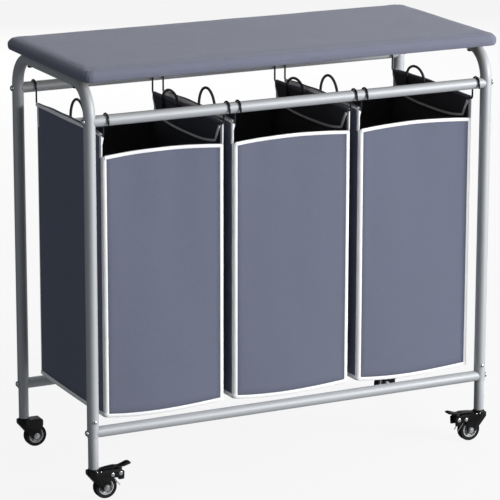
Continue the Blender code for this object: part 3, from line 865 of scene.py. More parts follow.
def build_leg(name, x, y, depth):
    """A lower leg, the sleeve for its caster's stem, and the button that locks it in the post."""
    top, foot, sleeve_top = POST_FOOT_Z + 0.03, LEG_FOOT_Z, LEG_FOOT_Z + 0.012
    wide, bore = 0.0100, 0.0047
    leg = [(LEG_R, top), (LEG_R, foot), (wide, foot), (wide, sleeve_top), (bore, sleeve_top), (bore, top)]
    mesh = turned_ring(leg, 0.0004, 44, (x, y, 0))
    piece(f"{name}_leg_tube", mesh, "frame", [SILVER], [f"{name}_leg"])
    inner, outer, low, high = 0.0048, 0.0099, foot + 0.0004, foot + 0.0115
    sleeve = [(inner, high), (outer, high), (outer, low), (inner, low)]
    mesh = turned_ring(sleeve, 0.0004, 36, (x, y, 0))
    piece(f"{name}_stem_sleeve", mesh, "frame", [PLASTIC])
    mesh = moved(snap_button(depth), Matrix.Translation((x, y + depth * POST_R, BUTTON_Z)))
    piece(f"{name}_snap_button", mesh, "frame", [ZINC, SILVER])


def build_frame():
    """The end frames, the rails with their bolts, and the lower legs."""
    line = arch_line(20)
    for name, side in SIDES:
        points = [(side * POST_X, y, z) for y, z in line]
        mesh = tube(points, POST_R, 44, mouth=POST_R - POST_WALL)
        piece(f"{name}_end_tube", mesh, "frame", [SILVER], [f"{name}_end_frame"])
    for depth_name, depth in DEPTHS:
        y = depth * POST_Y
        for level, z in (("upper", RAIL_UPPER_Z), ("lower", RAIL_LOWER_Z)):
            node = f"{depth_name}_{level}_rail"
            piece(f"{node}_tube", rail_mesh(y, z), "frame", [SILVER], [node])
            for name, side in SIDES:
                bolt = f"{depth_name}_{level}_{name}_bolt"
                mesh = moved(bolt_mesh(side), Matrix.Translation((side * POST_X, y, z)))
                piece(f"{bolt}_head", mesh, "frame", [ZINC], [bolt])
        for name, side in SIDES:
            build_leg(f"{depth_name}_{name}", side * POST_X, y, depth)


# ---------------------------------------------------------------- board


def spread(half, corner):
    """Places from -half to half: fine inside the two corner zones and evenly spread between them."""
    inner = half - corner
    corner_steps = 5
    count = max(2, round(2 * inner / PAD_GRID))
    middle = [-inner + 2 * inner * i / count for i in range(count + 1)]
    zone = [inner + corner * i / corner_steps for i in range(1, corner_steps + 1)]
    return [-z for z in reversed(zone)] + middle + zone


def rounded_spot(x, y, hx, hy, corner):
    """A point of a rectangle moved onto the matching point of the same rectangle with round corners."""
    cx, cy = abs(x) - (hx - corner), abs(y) - (hy - corner)
    if cx <= 0 or cy <= 0:
        return x, y
    scale = max(cx, cy) / math.hypot(cx, cy)
    return (
        math.copysign(hx - corner + cx * scale, x),
        math.copysign(hy - corner + cy * scale, y),
    )


def border(xs, ys):
    """The grid places round the border, in order."""
    last_x, last_y = len(xs) - 1, len(ys) - 1
    walk = [(i, 0) for i in range(last_x)] + [(last_x, j) for j in range(last_y)]
    walk += [(i, last_y) for i in range(last_x, 0, -1)] + [(0, j) for j in range(last_y, 0, -1)]
    return walk


def outline_normal(x, y, hx, hy, corner):
    """The outward direction at a border point of a rectangle with round corners."""
    cx, cy = max(abs(x) - (hx - corner), 0.0), max(abs(y) - (hy - corner), 0.0)
    if cx < 1e-9 and cy < 1e-9:
        return 0.0, 0.0
    if abs(abs(x) - hx) > 1e-6 and cy > 0 and cx == 0:
        return 0.0, math.copysign(1.0, y)
    if cy == 0:
        return math.copysign(1.0, x), 0.0
    length = math.hypot(cx, cy)
    return math.copysign(cx / length, x), math.copysign(cy / length, y)


def pad_sheet():
    """The cover before it is stuffed: a flat top, a rounded edge and a skirt down to the hem."""
    top = BOARD_TOP_Z - PAD_RISE
    flat_inset = PAD_EDGE_R + 0.0006
    hx, hy, corner = BOARD_HX - flat_inset, BOARD_HY - flat_inset, BOARD_CORNER - flat_inset
    xs, ys = spread(hx, corner), spread(hy, corner)
    bm = bmesh.new()
    grid = {}
    for i, x in enumerate(xs):
        for j, y in enumerate(ys):
            px, py = rounded_spot(x, y, hx, hy, corner)
            grid[i, j] = bm.verts.new((px, py, top))
    for i in range(len(xs) - 1):
        for j in range(len(ys) - 1):
            bm.faces.new((grid[i, j], grid[i + 1, j], grid[i + 1, j + 1], grid[i, j + 1]))
    rim = [grid[place] for place in border(xs, ys)]
    normals = [Vector(outline_normal(v.co.x, v.co.y, hx, hy, corner)) for v in rim]
    profile = []
    for degrees in (10, 22, 34, 46, 58, 70, 80, 90):
        a = math.radians(degrees)
        profile.append((PAD_EDGE_R * math.sin(a), top - PAD_EDGE_R * (1 - math.cos(a))))
    hem = ((0.0, 0.0082), (0.0004, 0.0050), (0.0012, 0.0022), (0.0026, 0.0004), (0.0042, 0.0003))
    profile += [(PAD_EDGE_R - tuck, PAD_LIP_Z + lift) for tuck, lift in hem]
    before = rim
    for out, z in profile:
        ring = [bm.verts.new((v.co.x + n.x * out, v.co.y + n.y * out, z)) for v, n in zip(rim, normals)]
        skin(bm, before, ring)
        before = ring
    bmesh.ops.recalc_face_normals(bm, faces=bm.faces)
    return closed_up(bm)


def stuffed(mesh):
    """Blows the cover up a little from inside with a cloth simulation, its skirt held still."""
    rest = np.array([v.co for v in mesh.vertices], float)
    body = linked("work", mesh)
    held = body.vertex_groups.new(name="held")
    skirt = [v.index for v in mesh.vertices if v.co.z < BOARD_TOP_Z - PAD_EDGE_R]
    held.add(skirt, 1.0, "REPLACE")
    cloth = body.modifiers.new("cloth", "CLOTH")
    settings = cloth.settings
    settings.quality = 6
    settings.mass = 0.35
    settings.vertex_group_mass = "held"
    settings.tension_stiffness = 25
    settings.compression_stiffness = 25
    settings.shear_stiffness = 12
    settings.bending_stiffness = 2.5
    settings.use_pressure = True
    settings.uniform_pressure_force = 4.0
    settings.effector_weights.gravity = 0.0
    cloth.collision_settings.use_collision = False
    last = 20
    cloth.point_cache.frame_start = 1
    cloth.point_cache.frame_end = last
    scene = bpy.context.scene
    for number in range(1, last + 1):
        scene.frame_set(number)
    swollen = baked(body)
    moves = np.array([v.co for v in swollen.vertices], float) - rest
    lengths = np.linalg.norm(moves, axis=1)
    moves *= (PAD_SWELL * np.tanh(lengths / PAD_SWELL) / np.maximum(lengths, 1e-9))[:, None]
    swollen.vertices.foreach_set("co", (rest + moves).astype(np.float32).ravel())
    scene.frame_set(1)
    return swollen


def wrinkled_pad(mesh):
    """Small lasting creases in the cover: gathers at the corners and a slack wave along the edges."""
    for v in mesh.vertices:
        x, y, z = v.co
        past_x = max(0.0, 1 - (BOARD_HX - abs(x)) / GATHER_SPAN)
        past_y = max(0.0, 1 - (BOARD_HY - abs(y)) / GATHER_SPAN)
        corner = past_x * past_y
        turn = math.atan2(abs(y) - BOARD_HY + 0.05, abs(x) - BOARD_HX + 0.05)
        gather = math.sin(turn * 26) * corner * 0.0007
        slack = noise.noise(Vector((x * 9, y * 9, 3.1))) * 0.0006
        slack += noise.noise(Vector((x * 24, y * 24, 8.7))) * 0.00025
        if z > BOARD_TOP_Z - 0.0075:
            v.co.z += slack + gather
        elif z > PAD_LIP_Z + 0.003:
            if BOARD_HX - abs(x) < EDGE_BAND:
                v.co.x += math.copysign(slack * 0.6 + gather, x)
            if BOARD_HY - abs(y) < EDGE_BAND:
                v.co.y += math.copysign(slack * 0.6 + gather, y)
    return mesh


def with_pocket(mesh):
    """Closes the cover from below with the pocket that the board fills."""
    bm = opened(mesh)
    start = next(e for e in bm.edges if len(e.link_faces) == 1).verts[0]
    ring, before, here = [start], None, start
    while True:
        ahead = [e.other_vert(here) for e in here.link_edges if len(e.link_faces) == 1]
        step = ahead[0] if ahead[0] is not before else ahead[1]
        if step is start:
            break
        ring.append(step)
        before, here = here, step
    shell, lip = 0.0004, 0.0048
    hx, hy = BOARD_HX - PAD_SIDE + shell, BOARD_HY - PAD_SIDE + shell
    spots = []
    for v in ring:
        x = max(-hx, min(hx, v.co.x * hx / (BOARD_HX - lip)))
        y = max(-hy, min(hy, v.co.y * hy / (BOARD_HY - lip)))
        spots.append((x, y))
    for z in (PAD_LIP_Z + 0.0010, BOARD_BASE_Z + CORE_THICK + shell):
        fresh = [bm.verts.new((x, y, z)) for x, y in spots]
        skin(bm, ring, fresh)
        ring = fresh
    bm.faces.new(ring)
    bmesh.ops.recalc_face_normals(bm, faces=bm.faces)
    return closed_up(bm, mesh)


def slab(inset, low, high):
    """The board itself: round corners and slightly eased edges."""
    ease = 0.0006
    rings = []
    for extra, z in ((ease, low), (0.0, low + ease), (0.0, high - ease), (ease, high)):
        ring = []
        hx, hy, corner = (size - inset - extra for size in (BOARD_HX, BOARD_HY, BOARD_CORNER))
        for sx, sy, start in ((1, 1, 0), (-1, 1, 90), (-1, -1, 180), (1, -1, 270)):
            turn = arc(sx * (hx - corner), sy * (hy - corner), corner, start, start + 90, 8)
            ring += [(x, y, z) for x, y in turn]
        rings.append(ring)
    return loft(rings)


def screw_head():
    """A black pan-head screw, its head hanging below z = 0."""
    radius, skirt = 0.0058, 0.0012
    profile = [(0.0, 0.0), (radius, 0.0), (radius, -skirt)]
    profile += [(r, -skirt - h) for r, h in dome(radius, 0.0030, 0.25, 1.3, 6)]
    profile.append((0.0, -0.0042))
    return lathe(profile, 32)


def build_board():
    """The padded cover, the board inside it and the four screws under it."""
    cover = pad_sheet()
    cover = stuffed(cover)
    cover = wrinkled_pad(changed(cover, "SUBSURF", levels=1, render_levels=1))
    pad = piece("board_cover", with_pocket(cover), "frame", [PAD_CLOTH], ["board_pad"], 60)
    core = slab(PAD_SIDE + 0.0003, BOARD_BASE_Z, BOARD_BASE_Z + CORE_THICK)
    piece("board_panel", core, "frame", [CHIPBOARD], ["board_core"], 30)
    for depth_name, depth in DEPTHS:
        for name, side in SIDES:
            node = f"{depth_name}_{name}_board_screw"
            under = FRAME_TOP_Z - POST_R - 0.0005
            mesh = moved(screw_head(), Matrix.Translation((side * POST_X, depth * SCREW_Y, under)))
            piece(f"{node}_head", mesh, "frame", [PLASTIC], [node])


# ---------------------------------------------------------------- bags


def bag_outline():
    """Points round a bag: (x, y, nx, ny, panel). Columns are closer together beside the seams."""
    near = [0.0, 0.0035, 0.0075, 0.0130, 0.0205]
    panels = (("front", 0, -1), ("right", 1, 0), ("rear", 0, 1), ("left", -1, 0))
    out = []
    for index, (name, nx, ny) in enumerate(panels):
        flat = (BAG_HX if ny else BAG_HY) - BAG_CORNER
        inner = flat - near[-1]
        count = round(2 * inner / 0.0095)
        middle = [-inner + 2 * inner * i / count for i in range(1, count)]
        for move in [-flat + n for n in near] + middle + [flat - n for n in reversed(near)]:
            out.append((nx * BAG_HX - ny * move, ny * BAG_HY + nx * move, nx, ny, name))
        _, ax, ay = panels[(index + 1) % 4]
        cx, cy = (nx + ax) * (BAG_HX - BAG_CORNER), (ny + ay) * (BAG_HY - BAG_CORNER)
        for step in range(1, 4):
            a = math.radians(90 * step / 4)
            mx, my = nx * math.cos(a) + ax * math.sin(a), ny * math.cos(a) + ay * math.sin(a)
            out.append((cx + mx * BAG_CORNER, cy + my * BAG_CORNER, mx, my, "corner"))
    return out


def drape(seed, x, y, nx, ny, z, out=0.0):
    """Where a point of a bag's wall lies: the panels bow, sag and crease between their seams."""
    share = max(0.0, min(1.0, (z - BAG_BASE_Z) / (BAG_FRONT_Z - BAG_BASE_Z)))
    face, side = ny**2, nx**2
    across = max(0.0, 1 - (x / BAG_HX) ** 2 if face > side else 1 - (y / BAG_HY) ** 2)
    belly = (BAG_BELLY * (1 - share) ** 2 - BAG_RIM_PULL * share**3) * across * face
    waist = -BAG_WAIST * math.sin(math.pi * min(1.0, share * 1.02)) * across * side
    here = Vector((x * 5 + seed * 7.3 + nx * 2, y * 5 + ny * 3, z * 2.4))
    slow = noise.noise(here) * BAG_WAVE
    fold = noise.noise(Vector((here.x * 2.6 + here.z * 1.5, here.y * 2.6, here.z * 2.2))) * BAG_FOLD
    hang = BAG_HANG * math.sin((x + y) * 60 + seed) * share**2
    crease = (slow + fold + hang) * min(1.0, across * 3.0) * min(1.0, share * 8 + 0.15)
    lopsided = 1 - 0.35 * x / BAG_HX * math.copysign(1.0, -ny or 1.0) if face > side else 1.0
    rise = (BAG_RIM_RISE * share**3 - BAG_HEM_DIP * lopsided * (1 - share) ** 3) * across * face
    rise -= 0.0020 * across * side * (1 - share) ** 6
    reach = belly + waist + crease + out
    return Vector((x + nx * reach, y + ny * reach, z + rise))


def fold_line():
    """The side panel above the front's edge, over the rod and down inside: (x, z, share of the flap)."""
    line = []
    for share in (0.2, 0.4, 0.6, 0.8, 0.93):
        line.append((BAG_HX + 0.0002 * share, BAG_FRONT_Z + (ROD_Z - BAG_FRONT_Z) * share, 0.0))
    for degrees in (-8, 18, 45, 72, 100, 128, 155, 178):
        a = math.radians(degrees)
        line.append((ROD_X + SLEEVE_R * math.cos(a), ROD_Z + SLEEVE_R * math.sin(a), 0.0))
    for share in (0.12, 0.3, 0.48, 0.66, 0.84, 1.0):
        line.append((ROD_X - SLEEVE_R - 0.0006 * share, None, share))
    return line


def flap_drop(v, share):
    """Height of the flap at a share of its way down. Its hem hangs lower between its ends."""
    hem = FLAP_LOW_Z - FLAP_DIP * (1 - abs(v) ** 3)
    return ROD_Z - 0.001 + (hem - ROD_Z + 0.001) * share


def sleeve_puff(seed, v):
    """How far the cloth stands clear of the rod's top: most between the rod's ends."""
    return SLEEVE_PUFF * (1 - v * v) + 0.0005 * math.sin(v * 11 + seed * 2.1)


def flap_spot(sign, seed, v, step):
    """A point of the fold: v runs from -1 at its front end to 1 at its rear end."""
    x, z, share = step
    reach = SLEEVE_Y + (FLAP_LOW_Y - SLEEVE_Y) * share
    if z is None:
        z = flap_drop(v, share)
    y = v * reach
    wave = noise.noise(Vector((y * 30 + seed * 5, sign * 4, z * 12)))
    if share > 0:
        x += (-0.0006 + 0.0009 * wave) * math.sin(math.pi * min(1.0, share * 1.1)) - 0.0003
        x = min(x, ROD_X - SLEEVE_R)
    elif z > ROD_Z:
        z += sleeve_puff(seed, v) * (z - ROD_Z) / SLEEVE_R
    return Vector((sign * x, y, z))


def sewn_walls(bm, seed, columns, seam):
    """Rows of points up the four walls, joined by faces. `seam` weighs the points beside the upright seams
    and the foot for the painted shade there.
    """
    shares = [0.0, 0.004, 0.012, 0.022, 0.04] + [0.04 + 0.94 * i / 50 for i in range(1, 51)] + [1.0]
    rows = []
    for share in shares:
        z = BAG_BASE_Z + (BAG_FRONT_Z - BAG_BASE_Z) * share
        row = []
        for x, y, nx, ny, _ in columns:
            v = bm.verts.new(drape(seed, x, y, nx, ny, z))
            # Weight of the painted shade: full near an upright seam and near the foot, fading out 8 mm
            # further in.
            near = min(BAG_HX - abs(x) if abs(ny) > 0.5 else BAG_HY - abs(y), (z - BAG_BASE_Z) + 0.002)
            v[seam] = max(0.0, 1 - max(0.0, near - 0.009) / 0.008)
            row.append(v)
        rows.append(row)
    for first, second in zip(rows, rows[1:]):
        skin(bm, first, second)
    return rows


def sewn_floor(bm, seed, rim):
    """The bag's floor, sagging between the lower ends of the walls."""
    before, clear = rim, 0.0002
    for scale in (0.985, 0.94, 0.86, 0.74, 0.6, 0.45, 0.3, 0.15):
        ring = []
        for p in [v.co for v in rim]:
            level = BAG_BASE_Z + (p.z - BAG_BASE_Z) * scale**2 - BAG_FLOOR_SAG * (1 - scale**3)
            ripple = 0.0006 * noise.noise(Vector((p.x * scale * 20, p.y * scale * 20, seed)))
            ring.append(bm.verts.new((p.x * scale, p.y * scale, level + ripple - clear)))
        skin(bm, ring, before)
        before = ring
    middle = bm.verts.new((0, 0, BAG_BASE_Z - BAG_FLOOR_SAG - clear))
    for j, v in enumerate(before):
        bm.faces.new((before[(j + 1) % len(before)], v, middle))


def sewn_flap(bm, seed, sign, side, rim):
    """A side panel's upper end, over its rod and down inside. `side` holds the panel's columns."""
    before = rim
    for step in fold_line():
        fresh = [bm.verts.new(flap_spot(sign, seed, c[1] / (BAG_HY - BAG_CORNER), step)) for c in side]
        for a in range(len(side) - 1):
            face = bm.faces.new((before[a], before[a + 1], fresh[a + 1], fresh[a]))
            # Past the fold the outer cloth takes the dark lining finish: painted shade inside the bag.
            face.material_index = 1 if step[2] > 0.1 else 0
        before = fresh


def bag_mesh(seed):
    """Walls, floor, rod sleeves and flaps of one bag as one cut and folded sheet with a black lining, whose
    dark finish is also laid on the flaps as painted shade.
    """
    columns = bag_outline()
    bm = bmesh.new()
    # Per-point weight of the painted shade beside the seams.
    seam = bm.verts.layers.float.new("seam")
    uv = bm.loops.layers.uv.new("UVMap")
    rows = sewn_walls(bm, seed, columns, seam)
    sewn_floor(bm, seed, rows[0])
    for sign, panel in ((-1, "left"), (1, "right")):
        order = [j for j, c in enumerate(columns) if c[4] == panel]
        order.sort(key=lambda j: columns[j][1])
        sewn_flap(bm, seed, sign, [columns[j] for j in order], [rows[-1][j] for j in order])
    for face in bm.faces:
        for loop in face.loops:
            loop[uv].uv = (loop.vert.co.x + loop.vert.co.y, loop.vert.co.z)
    bmesh.ops.recalc_face_normals(bm, faces=bm.faces)
    wall = next(f for f in bm.faces if all(v in rows[20] + rows[21] for v in f.verts))
    centre = wall.calc_center_median()
    if wall.normal.dot(Vector((centre.x, centre.y, 0))) < 0:
        bmesh.ops.reverse_faces(bm, faces=bm.faces)
    mesh = closed_up(bm)
    for look in (CLOTH, LINING_AND_SHADE):
        mesh.materials.append(look)
    return changed(mesh, "SOLIDIFY", thickness=FABRIC, offset=-1.0, material_offset=1, use_even_offset=False)


def edge_tape(line, width, lift):
    """Tape folded over a raw edge. The line holds (point, outward normal, direction into the cloth)."""
    top, low = lift + TAPE, -FABRIC - lift - TAPE
    near, under = lift, -FABRIC - lift
    shape = [(top * 0.75, width), (top, width - 0.0006), (top, 0.0), (top - 0.0004, -TAPE - 0.0001)]
    shape += [((top + low) / 2, -TAPE - 0.0004), (low + 0.0004, -TAPE - 0.0001), (low, 0.0)]
    shape += [(low, width - 0.0006), (low * 0.9, width), (under, width), (under, -0.0001)]
    shape += [(near, -0.0001), (near, width)]
    return loft([[point + normal * a + inward * b for a, b in shape] for point, normal, inward in line])


def corner_tape(seed, sx, sy):
    """The tape up one upright corner seam, from the front or rear face round to the side."""
    section = [(sx * (BAG_HX - back), sy * BAG_HY, 0.0, sy) for back in (TAPE_FRONT, 0.0074, BAG_CORNER)]
    for step in range(1, 6):
        a = math.radians(90 * step / 6)
        nx, ny = sx * math.sin(a), sy * math.cos(a)
        x, y = sx * (BAG_HX - BAG_CORNER) + nx * BAG_CORNER, sy * (BAG_HY - BAG_CORNER) + ny * BAG_CORNER
        section.append((x, y, nx, ny))
    section += [(sx * BAG_HX, sy * (BAG_HY - back), sx, 0.0) for back in (BAG_CORNER, 0.0066, TAPE_SIDE)]
    lift, rings = 0.0001, []
    for i in range(45):
        z = BAG_BASE_Z + (BAG_FRONT_Z - BAG_BASE_Z) * i / 44
        outer = []
        for k, spot in enumerate(section):
            thick = TAPE * (0.45 if k in (0, len(section) - 1) else 1.0)
            outer.append(drape(seed, *spot, z, lift + thick))
        inner = [drape(seed, *spot, z, lift) for spot in section]
        rings.append(outer + inner[::-1])
    return loft(rings)


def rim_tape(seed, sy):
    """The tape along the upper edge of the front or the rear panel."""
    flat = BAG_HX - BAG_CORNER + 0.001
    line = []
    for i in range(31):
        spot = drape(seed, -flat + 2 * flat * i / 30, sy * BAG_HY, 0.0, sy, BAG_FRONT_Z)
        line.append((spot, Vector((0, sy, 0)), Vector((0, 0, -1))))
    return edge_tape(line, 0.0060, 0.0011)


def end_tape(sign, end):
    """The tape up the free edge of a side panel above the front, and over the rod's sleeve."""
    line = [(BAG_HX, BAG_FRONT_Z - 0.003, 0.0)] + fold_line()[:9]
    spots = []
    for index, (x, z, _) in enumerate(line):
        a = line[max(index - 1, 0)]
        b = line[min(index + 1, len(line) - 1)]
        run = Vector((b[0] - a[0], 0, b[1] - a[1])).normalized()
        normal = Vector((sign * run.z, 0, -run.x))
        reach = BAG_HY - BAG_CORNER if z < BAG_FRONT_Z + 0.001 else SLEEVE_Y
        spots.append((Vector((sign * x, end * reach, z)), normal, Vector((0, -end, 0))))
    return edge_tape(spots, TAPE_SIDE, 0.0002)


def sleeve_tape(seed, sign):
    """The tape along the outside of a rod's sleeve, climbing over it towards the front."""
    rings = []
    for i in range(61):
        v = -1 + 2 * i / 60
        puff = sleeve_puff(seed, v)
        start = -2 - 16 * (1 + v) - 4 * math.sin(v * 7 + seed)
        outer, inner = [], []
        for k in range(7):
            a = math.radians(start + (42 - start) * k / 6)
            lean = max(0.0, math.sin(a))
            for out, row in ((0.0009 if k in (0, 6) else TAPE + 0.0004, outer), (0.0003, inner)):
                reach = SLEEVE_R + out
                x, z = ROD_X + reach * math.cos(a), ROD_Z + reach * math.sin(a) + puff * lean
                row.append((sign * x, v * SLEEVE_Y, z))
        rings.append(outer + inner[::-1])
    return loft(rings)


def hem_tape(seed, sign):
    """The tape down one end of a flap, along its hem and up the other end."""
    drops = fold_line()[-6:]
    hem = [(-1.0, drop) for drop in drops]
    hem += [(-1 + 2 * i / 24, drops[-1]) for i in range(1, 24)]
    hem += [(1.0, drop) for drop in reversed(drops)]
    spots = [flap_spot(sign, seed, v, step) for v, step in hem]
    normal = Vector((-sign, 0, 0))
    line = []
    for index, point in enumerate(spots):
        run = (spots[min(index + 1, len(spots) - 1)] - spots[max(index - 1, 0)]).normalized()
        inward = normal.cross(run).normalized()
        if inward.dot(Vector((0, -point.y, ROD_Z - point.z + 0.02))) < 0:
            inward = -inward
        line.append((point, normal, inward))
    return edge_tape(line, 0.0042, 0.0001)


def base_tape(seed):
    """The tape round the bag's foot, from the walls in under the floor."""
    lift = 0.0011
    out = lift + TAPE
    down = Vector((0, 0, -1))
    rings = []
    for x, y, nx, ny, _ in bag_outline():
        tall = 0.0062 if abs(ny) > 0.7 else 0.0078
        upper = drape(seed, x, y, nx, ny, BAG_BASE_Z + tall)
        low = drape(seed, x, y, nx, ny, BAG_BASE_Z)
        normal = Vector((nx, ny, 0))
        rings.append([
            upper + normal * lift,
            upper + normal * (lift + TAPE * 0.6),
            upper + normal * out + down * 0.0006,
            low + normal * out + down * 0.0002,
            low + normal * (lift * 0.5) + down * out,
            low - normal * 0.0070 + down * out,
            low - normal * 0.0072 + down * lift,
            low + normal * 0.0002 + down * lift,
            low + normal * lift + down * 0.0001,
        ])
    return loft(rings, loop=True)


def bag_tapes(seed):
    """Every binding of one bag as one sewn-on trim."""
    parts = [corner_tape(seed, sx, sy) for sx in (-1, 1) for sy in (-1, 1)]
    parts += [rim_tape(seed, sy) for sy in (-1, 1)]
    for sign in (-1, 1):
        parts += [end_tape(sign, end) for end in (-1, 1)]
        parts += [sleeve_tape(seed, sign), hem_tape(seed, sign)]
    return united(parts + [base_tape(seed)])


def wire_line():
    """A bag's rod with a hook at each end: (y, z)."""
    inner = POST_Y - HOOK_R
    corner = 0.005
    half = [(0.05, ROD_Z), (0.12, ROD_Z)]
    half += arc(inner - corner, ROD_Z + corner, corner, 270, 360, 6)
    half += arc(POST_Y, RAIL_UPPER_Z, HOOK_R, 180, 0, 16)
    half.append((POST_Y + HOOK_R, RAIL_UPPER_Z - HOOK_DROP))
    return [(-y, z) for y, z in reversed(half)] + half


def cord_line(top, middle):
    """The middle line of a cord loop: up from the flap, round and down to it again. At X = 0."""
    rise = top - ROD_Z
    feet = (CORD_FOOT_Z, CORD_FOOT_Z + 0.008, CORD_FOOT_Z + 0.016)
    line = [(0, middle - CORD_SPAN, z) for z in feet]
    for i in range(25):
        a = math.pi * i / 24
        line.append((0, middle - math.cos(a) * CORD_SPAN, ROD_Z + rise * math.sin(a)))
    return line + [(0, middle + CORD_SPAN, z) for z in reversed(feet)]


def webbing_swell(y):
    """How far webbing stands out where it runs over a cord, at a distance y from the cord's middle."""
    radius = CORD_R + 0.0002
    over = math.sqrt(max(0.0, radius**2 - y * y)) if abs(y) < CORD_R else 0.0
    slope = max(0.0, 1 - abs(y) / 0.0052) * radius
    return max(over, slope * 0.85) - CORD_R


def patch_mesh():
    """A square of webbing sewn over a cord's foot, swelling over the cord. Its outside faces +X."""
    rings = []
    hy, hz = 0.0070, 0.0085
    for i in range(9):
        z = -hz + 2 * hz * i / 8
        top, under = [], []
        for j in range(11):
            y = -hy + 2 * hy * j / 10
            edge = 0.0004 if j in (0, 10) or i in (0, 8) else 0.0
            top.append((webbing_swell(y) + 0.0009 - edge, y, z))
            under.append((webbing_swell(y), y, z))
        rings.append(top + under[::-1])
    return loft(rings)


def stitched_box(width, height):
    """Thread of a box-and-cross tack on a patch, as short raised stitches."""
    corners = [(-width, -height), (width, -height), (width, height), (-width, height)]
    runs = list(zip(corners, corners[1:] + corners[:1])) + list(zip(corners[:2], corners[2:]))
    parts = []
    for (y0, z0), (y1, z1) in runs:
        count = max(2, int(math.hypot(y1 - y0, z1 - z0) / STITCH))
        for i in range(count):
            a, b = (i + 0.14) / count, (i + 0.80) / count
            spots = []
            for t, rise in ((a, 0.0), ((a + b) / 2, 0.00012), (b, 0.0)):
                y, z = y0 + (y1 - y0) * t, z0 + (z1 - z0) * t
                spots.append((webbing_swell(y) + 0.00095 + rise, y, z))
            parts.append(tube(spots, THREAD_R, 6, 1))
    return united(parts)


def build_bags():
    """Each bag with its binding, rods and cord handles."""
    for seed, (bag_name, middle_x) in enumerate(BAG_MIDDLES.items(), 1):
        body = f"{bag_name}_bag_set"
        shift = Matrix.Translation((middle_x, 0, 0))
        node = f"{bag_name}_bag"
        piece(f"{node}_body", moved(bag_mesh(seed), shift), body, [CLOTH, LINING_AND_SHADE], [node], 55)
        piece(f"{node}_binding", moved(bag_tapes(seed), shift), body, [TAPE_LOOK], (), 50)
        patches, threads = [], []
        for (name, side), (top, along) in zip(SIDES, LOOPS[bag_name]):
            x = middle_x + side * ROD_X
            rod = f"{node}_{name}_rod"
            wire = tube([(x, y, z) for y, z in wire_line()], ROD_R, 16, domes=3)
            piece(f"{rod}_wire", wire, body, [WIRE], [rod])
            handle = f"{node}_{name}_handle"
            line = [(middle_x + side * CORD_X + dx, y, z) for dx, y, z in cord_line(top, along)]
            mesh = tube(line, CORD_R, 14, domes=2)
            loop = piece(f"{handle}_cord", mesh, body, [CORD_LOOK], [handle])
            for end in (-1, 1):
                place = (middle_x + side * CORD_X, along + end * CORD_SPAN, CORD_FOOT_Z + 0.0065)
                matrix = Matrix.Translation(place) @ Matrix.Diagonal((-side, 1, 1, 1))
                patches.append(moved(patch_mesh(), matrix))
                threads.append(moved(stitched_box(0.0058, 0.0072), matrix))
        piece(f"{node}_handle_patches", united(patches), body, [WEBBING], (), 40)
        piece(f"{node}_handle_tacks", united(threads), body, [THREAD], (), 60)


# ---------------------------------------------------------------- casters


def cheek_outline(braked):
    """The side of a fork: stem end, wheel arm and, on a braked one, the ears that hold the pedal."""
    outline = [(-0.0130, 0.0640), (-0.0130, 0.0540), (-0.001, 0.0395), (0.0150, 0.0205)]
    outline += arc(TRAIL, AXLE_Z, 0.0085, 215, 340, 12)
    if braked:
        outline += [(0.0355, 0.0400), (0.0375, 0.0460), (0.0510, 0.0440), (0.0525, 0.0395)]
        outline += [(0.0650, 0.0395), (0.0660, 0.0570), (0.0610, 0.0595), (0.0490, 0.0632)]
    else:
        outline += [(0.0365, 0.0400), (0.0410, 0.0490), (0.0410, 0.0605), (0.0375, 0.0640)]
    return outline


def well_outline(braked):
    """The room for the wheel, open to the ground and away from the stem, and for the pedal's neck."""
    roof = 0.05
    turn = math.degrees(math.asin((roof - AXLE_Z) / WELL_R))
    outline = [(0.070, -0.003)]
    outline += [(0.070, 0.080), (0.0455, 0.080), (0.0455, roof)] if braked else [(0.070, roof)]
    outline += arc(TRAIL, AXLE_Z, WELL_R, turn, 180 + turn, 32)
    return outline + [(0.0148, -0.003)]


def fork_mesh(braked):
    """The caster's housing with its cap, and its stem. The wheel trails towards +X."""
    body = prism(rounded(cheek_outline(braked), 0.0016, 2, True), FORK_HW)
    cap = [(0, 0.0676), (0.0118, 0.0676), (0.0134, 0.0655), (0.0134, 0.0560), (0.0118, 0.0530), (0, 0.0530)]
    cuts = [prism(well_outline(braked), WELL_HW), cylinder(AXLE_R + 0.0003, 0.02, 28, TRAIL, AXLE_Z)]
    if braked:
        cuts.append(cylinder(0.0024, 0.02, 20, PIN_X, PIN_Z))
    mesh = combined(body, [lathe(rounded(cap, [0, 0.0012, 0.0012, 0.001, 0.001, 0], 3), 44)], "UNION")
    mesh = softened(combined(mesh, cuts, "DIFFERENCE"), 0.0007, 2, 45)
    stem = [(0.0, 0.0600), (0.0045, 0.0600), (0.0045, 0.0985), (0.0040, 0.0990), (0.0, 0.0990)]
    return united([mesh, lathe(rounded(stem, [0, 0, 0.0003, 0.0003, 0], 2), 28)], [0, 1])


def rivet_mesh(radius, height):
    """A domed rivet head standing on z = 0."""
    skirt = height * 0.25
    profile = [(0.0, -0.0004), (radius, -0.0004), (radius, skirt)]
    profile += [(r, skirt + h) for r, h in dome(radius, height * 0.75, 0.2, 1.35, 6)]
    profile.append((0.0, height))
    return lathe(profile, 24)


def nut_mesh():
    """A hexagon nut on its washer, with chamfered corners and the end of its bolt, standing on z = 0."""
    rings = []
    for share, z in ((0.93, 0.0), (1.0, 0.0005), (1.0, 0.0024), (0.90, 0.0030)):
        ring = []
        for a in circle(36):
            wedge = (a + math.pi / 6) % (math.pi / 3) - math.pi / 6
            radius = min(0.0050 / math.cos(wedge), 0.0058 * share)
            ring.append((radius * math.cos(a), radius * math.sin(a), z))
        rings.append(ring)
    end = lathe([(0, 0.0), (0.0028, 0.0), (0.0028, 0.0034), (0.0024, 0.0037), (0, 0.0037)], 24)
    washer = lathe([(0, -0.0002), (0.0068, -0.0002), (0.0068, 0.0006), (0, 0.0006)], 32)
    return united([washer, loft(rings), end])


